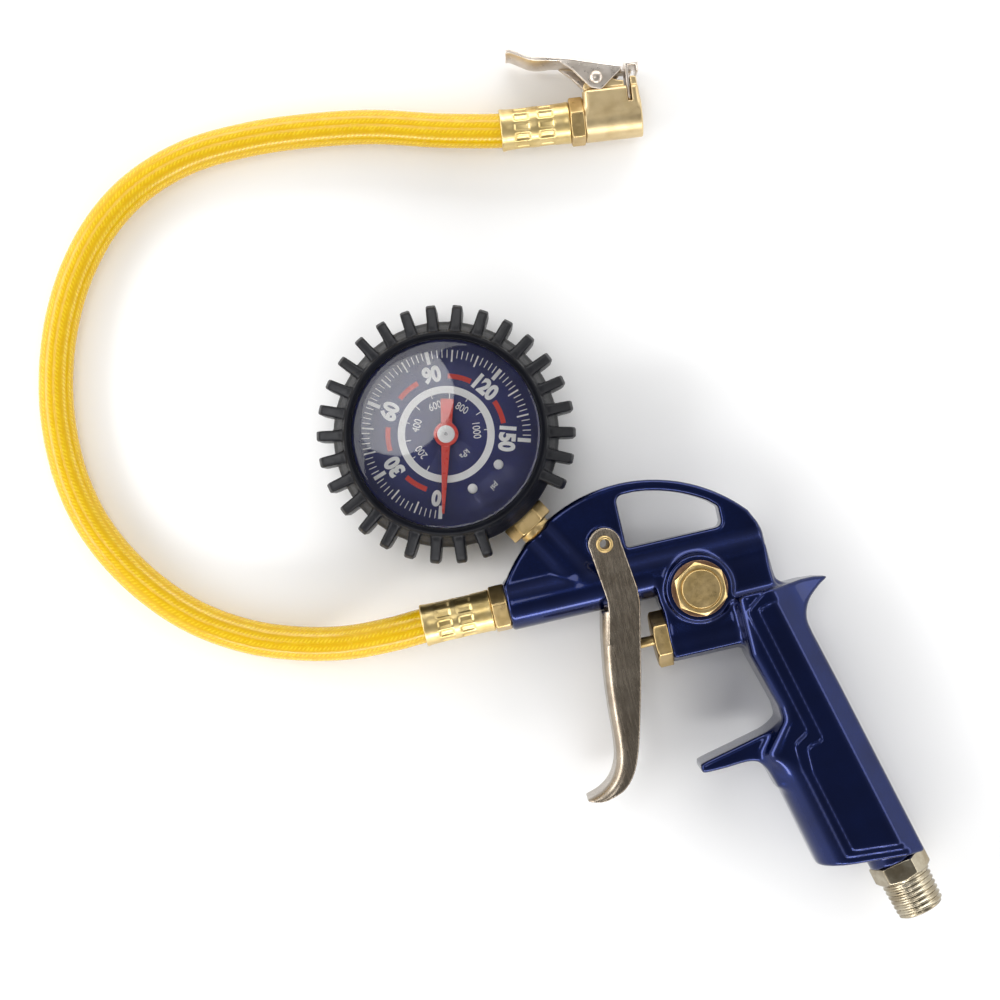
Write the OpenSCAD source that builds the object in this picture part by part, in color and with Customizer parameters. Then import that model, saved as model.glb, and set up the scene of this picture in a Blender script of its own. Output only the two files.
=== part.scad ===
// Tyre inflator: a trigger gun with a dial gauge, a short hose and a clip-on chuck.
// It lies on its side. +Z is up, the barrel runs along X with the hose end towards -X,
// and the top of the gun faces +Y. The shapes are drawn from the trigger's pivot line,
// and on_table() moves that line from the frame's origin to its place.

/* [Gun body] */
// Height of the gun's middle plane above the surface that it lies on
mid_z = 12; // [12:0.1:12.2]
// Radius of the upper barrel
barrel_r = 6.6; // [6.4:0.1:6.8]
// Thickness of the domed web
web_t = 11; // [9:0.5:12.5]
// Thickness of the grip
grip_t = 24; // [22:0.5:24]
// Radius of the dome's outline
dome_r = 42; // [41:0.5:43]
// Width of the rim between the dome's outline and the window
dome_rim = 2.9; // [2:0.1:3.5]
// Radius of the lower barrel
lower_r = 6.8; // [6.6:0.1:7]

/* [Trigger] */
// Outer width across the trigger's cheeks
trigger_w = 16.8; // [16.8:0.1:18]
// Thickness of the trigger's sheet
trigger_t = 1.2; // [0.8:0.1:1.3]
// Radius of the hollow rivet's shank
rivet_r = 1.75; // [1.5:0.05:1.75]

/* [Valve] */
// Radius of the valve stem
stem_r = 1.4; // [1.2:0.05:1.4]
// Width across the flats of the gland nut
gland_af = 13.2; // [12.6:0.1:13.6]
// Width across the flats of the hex plug
plug_af = 12.7; // [12:0.1:13]
// Turns of the valve spring
valve_turns = 7; // [5:1:9]

/* [Gauge] */
// Outer radius of the gauge's case
case_r = 26; // [25.8:0.1:26]
// Outer radius of the rubber boot
boot_r = 29.6; // [29:0.1:30]
// Radius over the boot's teeth
teeth_r = 33.8; // [32:0.1:34]
// Width of one tooth
tooth_w = 2.8; // [2:0.1:3.2]
// Height of the boot's front lip
boot_h = 29.5; // [29.2:0.1:30]
// Radius of the opening in the boot's lip
lip_r = 23.4; // [22.6:0.1:24]

/* [Hose] */
// Outer radius of the hose
hose_r = 4.6; // [4.4:0.1:4.65]
// Radius of the hose's bore
hose_bore_r = 2.5; // [2.45:0.05:2.6]
// Outer radius of the crimped ferrules
ferrule_r = 5.45; // [5.2:0.05:5.6]
// Width across the flats of the hose nuts
hose_nut_af = 11.4; // [11:0.1:11.8]

/* [Chuck] */
// Radius of the chuck's round underside
chuck_r = 5.9; // [5.8:0.1:6]
// Radius of the bore that takes a tyre valve
chuck_bore_r = 4.1; // [3.95:0.05:4.2]
// Outer width across the cheeks of the chuck's lever
chuck_lever_w = 11.8; // [11.6:0.1:12]

/* [Air inlet] */
// Radius of the inlet's pipe thread
inlet_r = 6.7; // [6.5:0.05:6.85]
// Width across the flats of the inlet's hexagon
inlet_af = 13.8; // [13.4:0.1:14]

/* [Hidden] */
$fn = 48;
// Middle of the outline of the gun and its gauge, which stands on the frame's origin
outline_mid = [0.1, -21.9];
// Gap that parts keep when they only fit together, and when they turn or slide
fit_gap = 0.05;
// Sides of a hexagon
hex = 6;

pivot = [0.5, 0];
barrel_y = -10.5;
barrel_x = [-27.8, 41];
lower_y = -28;
lower_x = [11.7, 38];
port_r = 4.9;
air_r = 2.5;
plug_at = [22.1, -16.8];
plug_boss_r = 8.8;
plug_boss_z = 20.2;
washer_t = 0.8;
dome_mid = [7.8, -27.4];
chamber_r = 4.2;
chamber_end = 42.5;
seat_x = [23.5, 26.2];

// The gauge's stem leaves the barrel this far round from straight up
gauge_turn = 30;
gauge_at = [-33.3, 37.2];
stem_face = 35.4;
case_back = 1.6;
case_rim = 26;
dial_z = 21;
dial_r = 24.6;
movement_pivot = [8, -8];
pinion_r = 1.35;
sector_r = 9.8;
sector_rest = 118;
tube_r = 18.6;
plate_gap = [9, 17];
pillars_at = [[-4.1, 4.1], [12.4, -3]];
// The screws of the case and of the dial stand in pairs, this far to each side and from the centre
case_screw_at = [3.6, -16.5];
dial_screw_at = [4.6, -15];

inlet_at = [57.35, -98.5];
inlet_lean = 14.2;

chuck_at = [28, 110.5];
chuck_z = 6.5;
chuck_turn = -6.4;
chuck_pivot = [-2.6, 10.2];
chuck_rivet_r = 1.2;
slot_x = [5.1, 6.3];
slot_floor = 3;
chuck_seal_r = 4.6;
clip_t = 0.8;

// Centreline of the hose: out of the gun's ferrule, down to the surface, round in one loose
// loop and up to the chuck
hose_route = [
    [-34, -10.5, 12], [-42, -10.5, 12], [-50.5, -10.5, 12], [-60, -10.9, 11.1],
    [-72, -10.5, 8.2], [-84.5, -8, 5.9], [-97, -3.4, 4.8], [-109, 4, 4.7],
    [-118.5, 13.2, 4.7], [-126.5, 24.6, 4.7], [-132, 37, 4.7], [-134.6, 50.5, 4.7],
    [-134.4, 65, 4.7], [-131.8, 78.5, 4.7], [-127, 91.5, 4.7], [-120, 103.5, 4.7],
    [-110.3, 114.2, 4.7], [-98.5, 121.8, 4.7], [-84, 126.2, 4.7], [-67.5, 127, 4.7],
    [-51, 125.6, 4.8], [-34, 122.6, 5.2], [-17.5, 117.7, 5.9], [-1.5, 113.8, 6.5],
    [7, 112.85, 6.5], [15, 111.95, 6.5]
];

// ---- places ----

module on_table() {
    translate([-outline_mid.x, -outline_mid.y, 0]) children();
}

// The gun's middle plane, in which its outlines are drawn
module in_gun() {
    on_table() translate([0, 0, mid_z]) children();
}

// The gauge's own frame: its centre line along Z, its stem towards -Y, its back at z = 0
module in_gauge() {
    on_table() translate([gauge_at.x, gauge_at.y, 0]) rotate([0, 0, gauge_turn]) children();
}

// The air inlet's own frame: z = 0 on the boss's face, +Z out along the thread
module in_inlet() {
    in_gun() translate([inlet_at.x, inlet_at.y, 0]) rotate([0, 0, inlet_lean]) rotate([90, 0, 0]) children();
}

// The chuck's own frame: the valve bore along X, the lever towards +Y
module in_chuck() {
    on_table() translate([chuck_at.x, chuck_at.y, chuck_z]) rotate([0, 0, chuck_turn]) children();
}

// ---- shared shapes ----

// Cylinder along +X between two stations
module rod_x(from, to, r) {
    translate([from, 0, 0]) rotate([0, 90, 0]) cylinder(h = to - from, r = r);
}

// Cylinder along -Y between two distances from the origin
module rod_down(from, to, r) {
    translate([0, -from, 0]) rotate([90, 0, 0]) cylinder(h = to - from, r = r);
}

// Plate of thickness t about the plane z = 0
module plate(t) {
    linear_extrude(t, center = true) children();
}

// Hexagonal prism along +Z, with its flats this far apart
module hex_bar(af, h, turn = 0) {
    rotate([0, 0, turn]) cylinder(h = h, r = af / sqrt(3), $fn = hex);
}

// Cone that cuts the corners of a hexagon at its end, as turning does
module hex_crown(af, h, turn = 0) {
    intersection() {
        hex_bar(af, h, turn);
        union() {
            cylinder(h = h - 0.7, r = af);
            translate([0, 0, h - 0.71]) cylinder(h = 0.71, r1 = af / sqrt(3) + 0.15, r2 = af / 2 - 0.1);
        }
    }
}

function unit(v) = v / norm(v);
function tangent(path, i) = unit(path[min(i + 1, len(path) - 1)] - path[max(i - 1, 0)]);
function ring(path, i, r, sides, up) =
    let (t = tangent(path, i), a = unit(cross(t, up)), b = cross(a, t))
    [for (k = [0:sides - 1]) path[i] + r * (cos(360 * k / sides) * a + sin(360 * k / sides) * b)];

// Round bar along a path, as one closed surface with a ring of corners at each point
module swept_bar(path, r, sides, up = [0, 0, 1]) {
    n = len(path);
    corners = [for (i = [0:n - 1]) each ring(path, i, r, sides, up)];
    near = [for (i = [0:n - 2], k = [0:sides - 1])
        [i * sides + k, i * sides + (k + 1) % sides, (i + 1) * sides + k]];
    far = [for (i = [0:n - 2], k = [0:sides - 1])
        [i * sides + (k + 1) % sides, (i + 1) * sides + (k + 1) % sides, (i + 1) * sides + k]];
    start_cap = [for (k = [1:sides - 2]) [0, k + 1, k]];
    last = (n - 1) * sides;
    caps = concat(start_cap, [for (k = [1:sides - 2]) [last, last + k, last + k + 1]]);
    polyhedron(corners, concat(near, far, caps));
}

// ---- gun body ----

function dome_point(r, x) = [x, dome_mid.y + sqrt(r * r - pow(x - dome_mid.x, 2))];

module dome_outline() {
    arc = [for (i = [0:20]) dome_point(dome_r, -27.8 + i * 3.4)];
    polygon(concat(arc, [
        [41.4, -3.4], [41.7, -12.8], [42.1, -18], [43.4, -20.7], [52.6, -20.9], [55.9, -21.8],
        [52, -24.3], [49, -27.2], [47.8, -30.2], [48.2, -34.5], [31, -34.5], [31, -12], [-27.8, -12]
    ]));
}

module window_outline() {
    r = dome_r - dome_rim;
    arc = [for (i = [0:7]) dome_point(r, 8.2 + i * 3.2)];
    polygon(concat([[6.2, 0], [6.2, 10], [6.8, 11.3]], arc, [
        [31.6, 3.2], [31.9, 1.5], [31.6, -1.2], [30.4, -2.4], [8, -2.4], [6.7, -1.8]
    ]));
}

module valve_block_outline() {
    polygon([[10.9, -12.8], [11.2, -18], [11.7, -20], [11.7, -34.8], [31, -34.8], [36, -30], [36, -11]]);
}

module grip_outline() {
    polygon([
        [31, -20], [42.5, -20], [47.8, -30.2], [48.3, -34.5], [52.4, -50], [64.2, -96.6],
        [50.8, -99.8], [49.4, -96], [36.4, -95.2], [30.2, -68], [29, -64.2], [33.5, -57.5], [35.3, -54.5],
        [35.1, -51.5], [30.9, -37]
    ]);
}

// Grip: the full outline at its narrowest, stepping in to the flat sides
module grip_solid() {
    for (step = [[0, 15], [1.4, 19.5], [3.4, grip_t]])
        plate(step[1]) offset(delta = -step[0]) grip_outline();
}

module finger_hook() {
    plate(14) polygon([
        [36, -57.2], [32.2, -57.2], [22, -59.7], [13.2, -61.8], [12.2, -62.6], [12.3, -63.9], [13.2, -64.4],
        [25.5, -63.9], [28.6, -65], [30.4, -68.2], [38, -70]
    ]);
}

module gauge_boss() {
    translate([gauge_at.x, gauge_at.y, 0]) rotate([0, 0, gauge_turn]) rod_down(stem_face, stem_face + 19, 5.8);
}

// Every hole in the body, cut from its faces inwards
module body_bores() {
    translate([pivot.x, pivot.y, -10]) cylinder(h = 20, r = rivet_r + fit_gap);
    translate([0, barrel_y, 0]) {
        rod_x(barrel_x[0] - 1, -18, port_r);
        rod_x(-18.5, plug_at.x, air_r);
    }
    translate([plug_at.x, plug_at.y, -3]) cylinder(h = 14, r = 5);
    translate([plug_at.x, plug_at.y, 0]) rod_down(4, 12, 1.8);
    translate([0, lower_y, 0]) {
        rod_x(lower_x[0] - 1, 16.6, 5);
        rod_x(16.5, chamber_end, chamber_r);
    }
    translate([gauge_at.x, gauge_at.y, 0]) rotate([0, 0, gauge_turn]) {
        rod_down(stem_face - 1, stem_face + 9, port_r);
        rod_down(stem_face + 8.5, stem_face + 19.6, 1.5);
    }
    translate([inlet_at.x, inlet_at.y, 0]) rotate([0, 0, inlet_lean]) rotate([90, 0, 0]) {
        translate([0, 0, -10]) cylinder(h = 12, r = 5.55);
        translate([0, 0, -72.5]) cylinder(h = 63, r = air_r);
    }
}

module gun_body() {
    color("midnightblue") in_gun() difference() {
        union() {
            translate([0, barrel_y, 0]) {
                rod_x(barrel_x[0] + 1, barrel_x[1], barrel_r);
                translate([barrel_x[0], 0, 0]) rotate([0, 90, 0]) cylinder(h = 1, r1 = barrel_r - 1, r2 = barrel_r);
            }
            plate(web_t) difference() {
                dome_outline();
                window_outline();
            }
            translate([pivot.x, pivot.y, 0]) cylinder(h = 13.8, r = 4.3, center = true);
            plate(12) valve_block_outline();
            translate([0, lower_y, 0]) rod_x(lower_x[0], lower_x[1], lower_r);
            translate([plug_at.x, plug_at.y, 0]) cylinder(h = plug_boss_z - mid_z, r = plug_boss_r);
            grip_solid();
            finger_hook();
            gauge_boss();
            translate([inlet_at.x, inlet_at.y, 0]) rotate([0, 0, inlet_lean]) rotate([90, 0, 0])
                translate([0, 0, -9]) cylinder(h = 9, r = 7.3);
        }
        body_bores();
    }
}

module pivot_rivet() {
    half = trigger_w / 2;
    color("goldenrod") in_gun() translate([pivot.x, pivot.y, 0]) difference() {
        union() {
            cylinder(h = 2 * half + 0.4, r = rivet_r, center = true);
            for (side = [-1, 1])
                translate([0, 0, side * (half + 0.35)]) cylinder(h = 0.5, r = 2.3, center = true);
        }
        cylinder(h = 2 * half + 2, r = 1.25, center = true);
    }
}

// ---- trigger ----

// Side view of the trigger: a straight arm from the pivot to a kink, a long taper and a
// forward curl at the foot
module trigger_side() {
    polygon([
        [-4.2, -17.6], [-5.5, -23.8], [-7.2, -34], [-7.9, -42.5], [-8.4, -51], [-9.2, -56.4], [-11.3, -60.4],
        [-14.6, -63.1], [-18.7, -64.6], [-18.4, -65.7], [-15.8, -66.3], [-13.2, -66], [-8.7, -63.8],
        [-5.2, -59.9], [-2.6, -53.6], [0, -44.2], [2.1, -35.7], [4.3, -25.5], [6.3, -16.5], [6.4, -13], [4.8, 0.4],
        [0.5, 0.4], [-3.7, 0.4], [-2.1, -14.5], [-2.5, -17.4]
    ]);
}

// Space inside the channel, behind the front web
module trigger_hollow() {
    polygon([
        [-12, 6], [-12, -17.2], [-3.1, -17.2], [-4.3, -23.9], [-6, -34.1], [-6.7, -42.5], [-7.2, -51],
        [-8, -56], [-10.3, -59.5], [-13.9, -62.3], [-14.2, -64.3], [-12, -70], [20, -70], [20, 6]
    ]);
}

module trigger_lever() {
    ear_r = 4.3;
    color("dimgray") in_gun() difference() {
        union() {
            plate(trigger_w) trigger_side();
            translate([pivot.x, pivot.y, 0]) cylinder(h = trigger_w, r = ear_r, center = true);
        }
        plate(trigger_w - 2 * trigger_t) trigger_hollow();
        translate([pivot.x, pivot.y, 0]) cylinder(h = trigger_w + 2, r = rivet_r + fit_gap, center = true);
    }
}

// ---- valve ----

module hex_plug() {
    color("goldenrod") in_gun() translate([plug_at.x, plug_at.y, 0]) {
        translate([0, 0, plug_boss_z - mid_z + washer_t]) {
            hex_crown(plug_af, 3.8, 30);
            translate([0, 0, 3.7]) cylinder(h = 0.4, r = 5.1);
        }
        translate([0, 0, 2]) cylinder(h = plug_boss_z - mid_z - 1, r = 5 - fit_gap);
    }
}

module plug_washer() {
    color("peru") in_gun() translate([plug_at.x, plug_at.y, plug_boss_z - mid_z]) difference() {
        cylinder(h = washer_t, r = 7.4);
        translate([0, 0, -1]) cylinder(h = 3, r = 5);
    }
}

module gland_nut() {
    color("goldenrod") in_gun() translate([0, lower_y, 0]) difference() {
        union() {
            translate([lower_x[0], 0, 0]) rotate([0, -90, 0]) hex_crown(gland_af, 4, 90);
            rod_x(lower_x[0] - 0.1, 16.4, 5 - fit_gap);
        }
        rod_x(0, 20, stem_r + fit_gap);
    }
}

module gland_seal() {
    section_r = 1.1;
    color("black") in_gun() translate([17.7, lower_y, 0]) rotate([0, 90, 0])
        rotate_extrude() translate([stem_r + fit_gap + section_r, 0]) circle(r = section_r);
}

module valve_stem() {
    color("goldenrod") in_gun() translate([0, lower_y, 0]) {
        rod_x(-4.6, 27.2, stem_r);
        rod_x(27, 29.5, 3.4);
        rod_x(29.4, 34, 1.2);
    }
}

module valve_seal() {
    color("black") in_gun() translate([0, lower_y, 0]) difference() {
        rod_x(26.2, 27, 3.2);
        rod_x(26, 28, stem_r);
    }
}

module valve_seat() {
    color("goldenrod") in_gun() translate([0, lower_y, 0]) difference() {
        rod_x(seat_x[0], seat_x[1], chamber_r - fit_gap);
        rod_x(seat_x[0] - 1, seat_x[1] + 1, 2.2);
    }
}

function helix_x(from, to, r, turns, steps) =
    [for (i = [0:turns * steps])
        let (turn = 360 * i / steps)
        [from + (to - from) * i / (turns * steps), r * cos(turn), r * sin(turn)]];

module valve_spring() {
    wire_r = 0.45;
    path = helix_x(30.1, 41.9, 2.9, valve_turns, 16);
    color("silver") in_gun() translate([0, lower_y, 0]) swept_bar(path, wire_r, 6, [1, 0, 0]);
}

// ---- air inlet ----

module inlet_fitting() {
    color("silver") in_inlet() difference() {
        union() {
            translate([0, 0, -8.5]) cylinder(h = 9, r = 5.5);
            translate([0, 0, 0.1]) hex_crown(inlet_af, 5, 10);
            translate([0, 0, 5]) cylinder(h = 9.3, r = inlet_r);
            translate([0, 0, 14.3]) cylinder(h = 1, r1 = inlet_r, r2 = inlet_r - 0.9);
        }
        translate([0, 0, -9]) cylinder(h = 26, r = 3.6);
    }
}

module inlet_screen() {
    color("gray") in_inlet() translate([0, 0, 11]) difference() {
        cylinder(h = 0.8, r = 3.6 - fit_gap);
        for (i = [-2:2], j = [-2:2])
            if (i * i + j * j <= 5)
                translate([i * 1.2, j * 1.2, -1]) cylinder(h = 3, r = 0.42, $fn = 16);
    }
}

// ---- gauge ----

module gauge_socket() {
    color("goldenrod") in_gauge() translate([0, 0, mid_z]) difference() {
        union() {
            rod_down(stem_face - 0.2, stem_face + 8.6, port_r - fit_gap);
            rod_down(33, stem_face, 4.2);
            translate([0, -29, 0]) rotate([90, 0, 0]) hex_bar(11, 4.3, 0);
            rod_down(20, 29.2, 4.5);
            translate([-6.5, -21, -8]) cube([13, 9, dial_z - mid_z + 8]);
        }
        rod_down(16, stem_face + 10, 1.5);
        for (side = [-1, 1]) {
            translate([side * dial_screw_at.x, dial_screw_at.y, dial_z - mid_z - 4]) cylinder(h = 5, r = 0.9);
            translate([side * case_screw_at.x, case_screw_at.y, -9]) cylinder(h = 5, r = 1.3);
        }
    }
}

module gauge_case() {
    wall = 0.8;
    color("black") in_gauge() difference() {
        translate([0, 0, case_back]) cylinder(h = case_rim - case_back, r = case_r);
        translate([0, 0, case_back + wall]) cylinder(h = case_rim, r = case_r - wall);
        translate([0, 0, mid_z]) rod_down(20, 30, 4.6);
        for (side = [-1, 1])
            translate([side * case_screw_at.x, case_screw_at.y, 0]) cylinder(h = 5, r = 1.35);
    }
}

// One tooth of the boot, pointing along +X
module boot_tooth() {
    difference() {
        translate([case_r + 1.4, -tooth_w / 2, 3]) cube([teeth_r - case_r - 1.4, tooth_w, 21.5]);
        translate([teeth_r, 0, 24.5]) rotate([0, 45, 0]) cube([5, 10, 5], center = true);
        translate([teeth_r, 0, 3]) rotate([0, 45, 0]) cube([5, 10, 5], center = true);
    }
}

module gauge_boot() {
    floor_t = 1.5;
    places = 30;
    color("black") in_gauge() difference() {
        union() {
            rotate_extrude() polygon([
                [0, 0], [boot_r - 2, 0], [boot_r, 2], [boot_r, 22], [boot_r - 2.4, 26.4], [lip_r + 1, boot_h],
                [lip_r, boot_h - 0.4], [lip_r, 27.8], [case_r + 0.1, 27.8], [case_r + 0.1, floor_t], [0, floor_t]
            ]);
            for (k = [2:places - 2])
                rotate([0, 0, -90 + k * 360 / places]) boot_tooth();
        }
        translate([0, 0, mid_z]) rod_down(case_r - 1, teeth_r + 1, 6.8);
        for (side = [-1, 1])
            translate([side * case_screw_at.x, case_screw_at.y, 0.4]) cylinder(h = 3, r = 3);
    }
}

module lens_gasket() {
    color("dimgray") in_gauge() translate([0, 0, case_rim]) difference() {
        cylinder(h = 0.5, r = case_r);
        translate([0, 0, -1]) cylinder(h = 3, r = case_r - 1.6);
    }
}

// Clear dome: a flat flange under the boot's lip and a shallow crown
module gauge_lens() {
    flange_z = case_rim + 0.5;
    edge_r = lip_r - 0.4;
    color("lightcyan", 0.4) in_gauge() rotate_extrude() polygon([
        [0, 27.6], [8, 27.5], [15, 27.2], [20, 26.9], [edge_r - 1.6, flange_z], [case_r, flange_z],
        [case_r, flange_z + 1.2], [edge_r, flange_z + 1.2], [20, 28.2], [15, 28.5], [8, 28.8], [0, 28.9]
    ]);
}

module dial_plate() {
    color("navy") in_gauge() translate([0, 0, dial_z]) difference() {
        cylinder(h = 0.6, r = dial_r);
        translate([0, 0, -1]) cylinder(h = 3, r = 1.2);
        for (side = [-1, 1])
            translate([side * dial_screw_at.x, dial_screw_at.y, -1]) cylinder(h = 3, r = 0.95);
    }
}

module dial_screws() {
    color("white") in_gauge() for (side = [-1, 1])
        translate([side * dial_screw_at.x, dial_screw_at.y, dial_z]) {
            translate([0, 0, 0.6]) cylinder(h = 0.5, r = 1.2);
            translate([0, 0, -3.4]) cylinder(h = 4.1, r = 0.9 - fit_gap);
        }
}

// Needle at the zero of a 270 degree scale, which starts at the lower left
module pointer() {
    zero_angle = 225;
    tip_r = 20.8;
    tail_r = 9;
    color("red") in_gauge() translate([0, 0, 22.7]) difference() {
        union() {
            rotate([0, 0, zero_angle]) linear_extrude(0.6) polygon([
                [-tail_r, -1.9], [-tail_r, 1.9], [0, 1.3], [tip_r, 0.3], [tip_r, -0.3], [0, -1.3]
            ]);
            cylinder(h = 0.9, r = 3.2);
            translate([0, 0, 0.8]) cylinder(h = 0.4, r = 2.3);
        }
        translate([0, 0, -1]) cylinder(h = 1.8, r = 0.8);
    }
}

// Toothed wheel segment made of pointed teeth
module gear_teeth(r, teeth, from, to, depth) {
    for (a = [from:360 / teeth:to])
        rotate([0, 0, a]) polygon([[r - depth, -0.32], [r, -0.12], [r, 0.12], [r - depth, 0.32]]);
}

module pinion_arbor() {
    teeth = 12;
    color("goldenrod") in_gauge() {
        translate([0, 0, 8.2]) cylinder(h = 15.3, r = 0.75);
        translate([0, 0, 12]) linear_extrude(2) {
            circle(r = 0.95);
            gear_teeth(pinion_r, teeth, 0, 359, 0.5);
        }
        translate([0, 0, 14.6]) cylinder(h = 1, r = 1.5);
    }
}

module sector_gear() {
    teeth = 84;
    half = 23;
    tail = 298;
    color("goldenrod") in_gauge() translate([movement_pivot.x, movement_pivot.y, 0]) {
        difference() {
            translate([0, 0, 12.2]) linear_extrude(1.2) {
                rotate(sector_rest) polygon(concat(
                    [[0, -1.5]],
                    [for (a = [-half:2:half]) (sector_r - 0.4) * [cos(a), sin(a)]],
                    [[0, 1.5]]
                ));
                gear_teeth(sector_r, teeth, sector_rest - half + 1, sector_rest + half, 0.55);
                circle(r = 2);
                rotate(tail) translate([0, -1]) square([5, 2]);
            }
            rotate([0, 0, sector_rest]) translate([6, 0, 10]) cylinder(h = 5, r = 1.3);
        }
        translate([0, 0, 8.2]) cylinder(h = 9.6, r = 0.8);
    }
}

module hairspring() {
    turns = 3;
    steps = 24;
    blade = 0.16;
    inner = [for (i = [0:turns * steps])
        let (r = 1.55 + 3 * i / (turns * steps)) r * [cos(360 * i / steps), sin(360 * i / steps)]];
    outer = [for (i = [turns * steps:-1:0])
        let (r = 1.55 + blade + 3 * i / (turns * steps)) r * [cos(360 * i / steps), sin(360 * i / steps)]];
    color("silver") in_gauge() translate([0, 0, 14.7]) linear_extrude(0.8) polygon(concat(inner, outer));
}

// Flattened tube bent into a C, from the socket's block round to its free end
module bourdon_tube() {
    sweep = 255;
    color("peru") in_gauge() translate([0, 0, 10.5]) {
        rotate([0, 0, -110]) mirror([0, 1, 0]) rotate_extrude(angle = sweep) translate([tube_r, 0]) difference() {
            square([1.9, 6.4], center = true);
            square([0.9, 5.4], center = true);
        }
        rotate([0, 0, -110 - sweep]) translate([tube_r - 1.6, -1.5, -3.2]) cube([2.8, 2.2, 6.4]);
    }
}

module bourdon_link() {
    color("silver") in_gauge() translate([0, 0, 15]) linear_extrude(0.6)
        polygon([[17.2, -2.4], [18.4, -2.2], [11, -12.6], [9.9, -12]]);
}

module movement_outline() {
    polygon([[-5, -11.9], [-5, 5], [2, 5], [14, -1], [14, -11.9]]);
}

module movement_plate(z) {
    color("goldenrod") in_gauge() translate([0, 0, z]) difference() {
        linear_extrude(1) movement_outline();
        translate([0, 0, -1]) cylinder(h = 3, r = 0.75 + fit_gap);
        translate([movement_pivot.x, movement_pivot.y, -1]) cylinder(h = 3, r = 0.8 + fit_gap);
    }
}

module movement_back_plate() {
    movement_plate(plate_gap[0] - 1);
}

module movement_front_plate() {
    movement_plate(plate_gap[1]);
}

module movement_pillars() {
    color("goldenrod") in_gauge() for (at = pillars_at)
        translate([at.x, at.y, plate_gap[0]]) cylinder(h = plate_gap[1] - plate_gap[0], r = 0.8);
}

module case_screws() {
    color("silver") in_gauge() for (side = [-1, 1])
        translate([side * case_screw_at.x, case_screw_at.y, 0]) {
            translate([0, 0, 0.6]) cylinder(h = 1, r = 2.4);
            translate([0, 0, 1.5]) cylinder(h = 5.5, r = 1.3 - fit_gap);
        }
}

// ---- hose and its fittings ----

// Hose nut along +X: barb, hexagon, then the thread, with the hexagon's outer face at x = 0
module hose_nut(hex_t, thread_l, thread_r, barb_l) {
    difference() {
        union() {
            translate([-hex_t, 0, 0]) rotate([0, 90, 0]) hex_bar(hose_nut_af, hex_t, 18);
            rod_x(-0.1, thread_l, thread_r);
            rod_x(-hex_t - 1.2, -hex_t + 0.1, 3.1);
            rod_x(-hex_t - barb_l, -hex_t, 2.1);
            for (i = [0:3])
                translate([-hex_t - barb_l + 1 + i * 3.4, 0, 0]) rotate([0, 90, 0])
                    cylinder(h = 2.4, r1 = 2.1, r2 = hose_bore_r - fit_gap);
        }
        rod_x(-hex_t - barb_l - 1, thread_l + 1, 1.5);
    }
}

// Ferrule along +X, with its mouth at x = 0 and a collar that grips the barb's root
module ferrule(length) {
    difference() {
        rod_x(0, length, ferrule_r);
        rod_x(-1, length - 1, hose_r + 0.15);
        rod_x(length - 2, length + 1, 3.15);
    }
}

module hose_nut_gun() {
    color("goldenrod") in_gun() translate([barrel_x[0], barrel_y, 0]) hose_nut(4.2, 8.6, port_r - fit_gap, 16);
}

module ferrule_gun() {
    color("gold") in_gun() translate([-50.8, barrel_y, 0]) ferrule(18.7);
}

module hose() {
    color("yellow") on_table() difference() {
        swept_bar(hose_route, hose_r, 12);
        translate([-36, barrel_y, mid_z]) rod_x(-14, 4, hose_bore_r);
        translate([chuck_at.x, chuck_at.y, chuck_z]) rotate([0, 0, chuck_turn]) rod_x(-28, -11, hose_bore_r);
    }
}

module ferrule_chuck() {
    color("gold") in_chuck() translate([-29.3, 0, 0]) ferrule(18.6);
}

module hose_nut_chuck() {
    color("goldenrod") in_chuck() translate([-6.8, 0, 0]) hose_nut(3.8, 6, 4.4, 16);
}

// ---- chuck ----

module chuck_body() {
    body_x = [-6.75, 8.5];
    length = body_x[1] - body_x[0];
    shoulder_y = 6.8;
    ear_w = 9;
    color("darkgoldenrod") in_chuck() difference() {
        union() {
            rod_x(body_x[0], body_x[1], chuck_r);
            translate([body_x[0], 0, -chuck_r]) cube([length, shoulder_y, 2 * chuck_r]);
            translate([body_x[0], 0, -ear_w / 2]) cube([11.4, 9, ear_w]);
            translate([chuck_pivot.x, chuck_pivot.y, -ear_w / 2]) cylinder(h = ear_w, r = 2.9);
            translate([slot_x[1], 0, -ear_w / 2]) cube([body_x[1] - slot_x[1], 9.8, ear_w]);
        }
        rod_x(body_x[0] - 1, -0.6, 4.45);
        for (a = [90, 210, 330])
            rotate([a, 0, 0]) translate([0, 0, 2.4]) rod_x(-1, 1.2, 0.8);
        rod_x(-1, 1.2, 0.9);
        rod_x(0.8, 3, chuck_seal_r);
        rod_x(2.9, body_x[1] + 1, chuck_bore_r);
        translate([slot_x[0], slot_floor, -chuck_r - 1]) cube([slot_x[1] - slot_x[0], 20, 2 * chuck_r + 2]);
        translate([-8, 7.6, -2]) cube([9.6, 10, 4]);
        translate([chuck_pivot.x, chuck_pivot.y, -8]) cylinder(h = 16, r = chuck_rivet_r);
    }
}

module chuck_seal() {
    color("black") in_chuck() difference() {
        rod_x(0.8, 2.8, chuck_seal_r - fit_gap);
        rod_x(0, 4, 2);
    }
}

module chuck_pin() {
    color("goldenrod") in_chuck() {
        rod_x(-1.4, 0.8, 0.9 - fit_gap);
        rod_x(0.8, 2.8, 1.3);
    }
}

module chuck_rivet() {
    half = chuck_lever_w / 2;
    color("silver") in_chuck() translate([chuck_pivot.x, chuck_pivot.y, 0]) {
        cylinder(h = 2 * half + 0.4, r = chuck_rivet_r - fit_gap / 2, center = true);
        for (side = [-1, 1])
            translate([0, 0, side * (half + 0.3)]) cylinder(h = 0.5, r = 1.7, center = true);
    }
}

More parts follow.
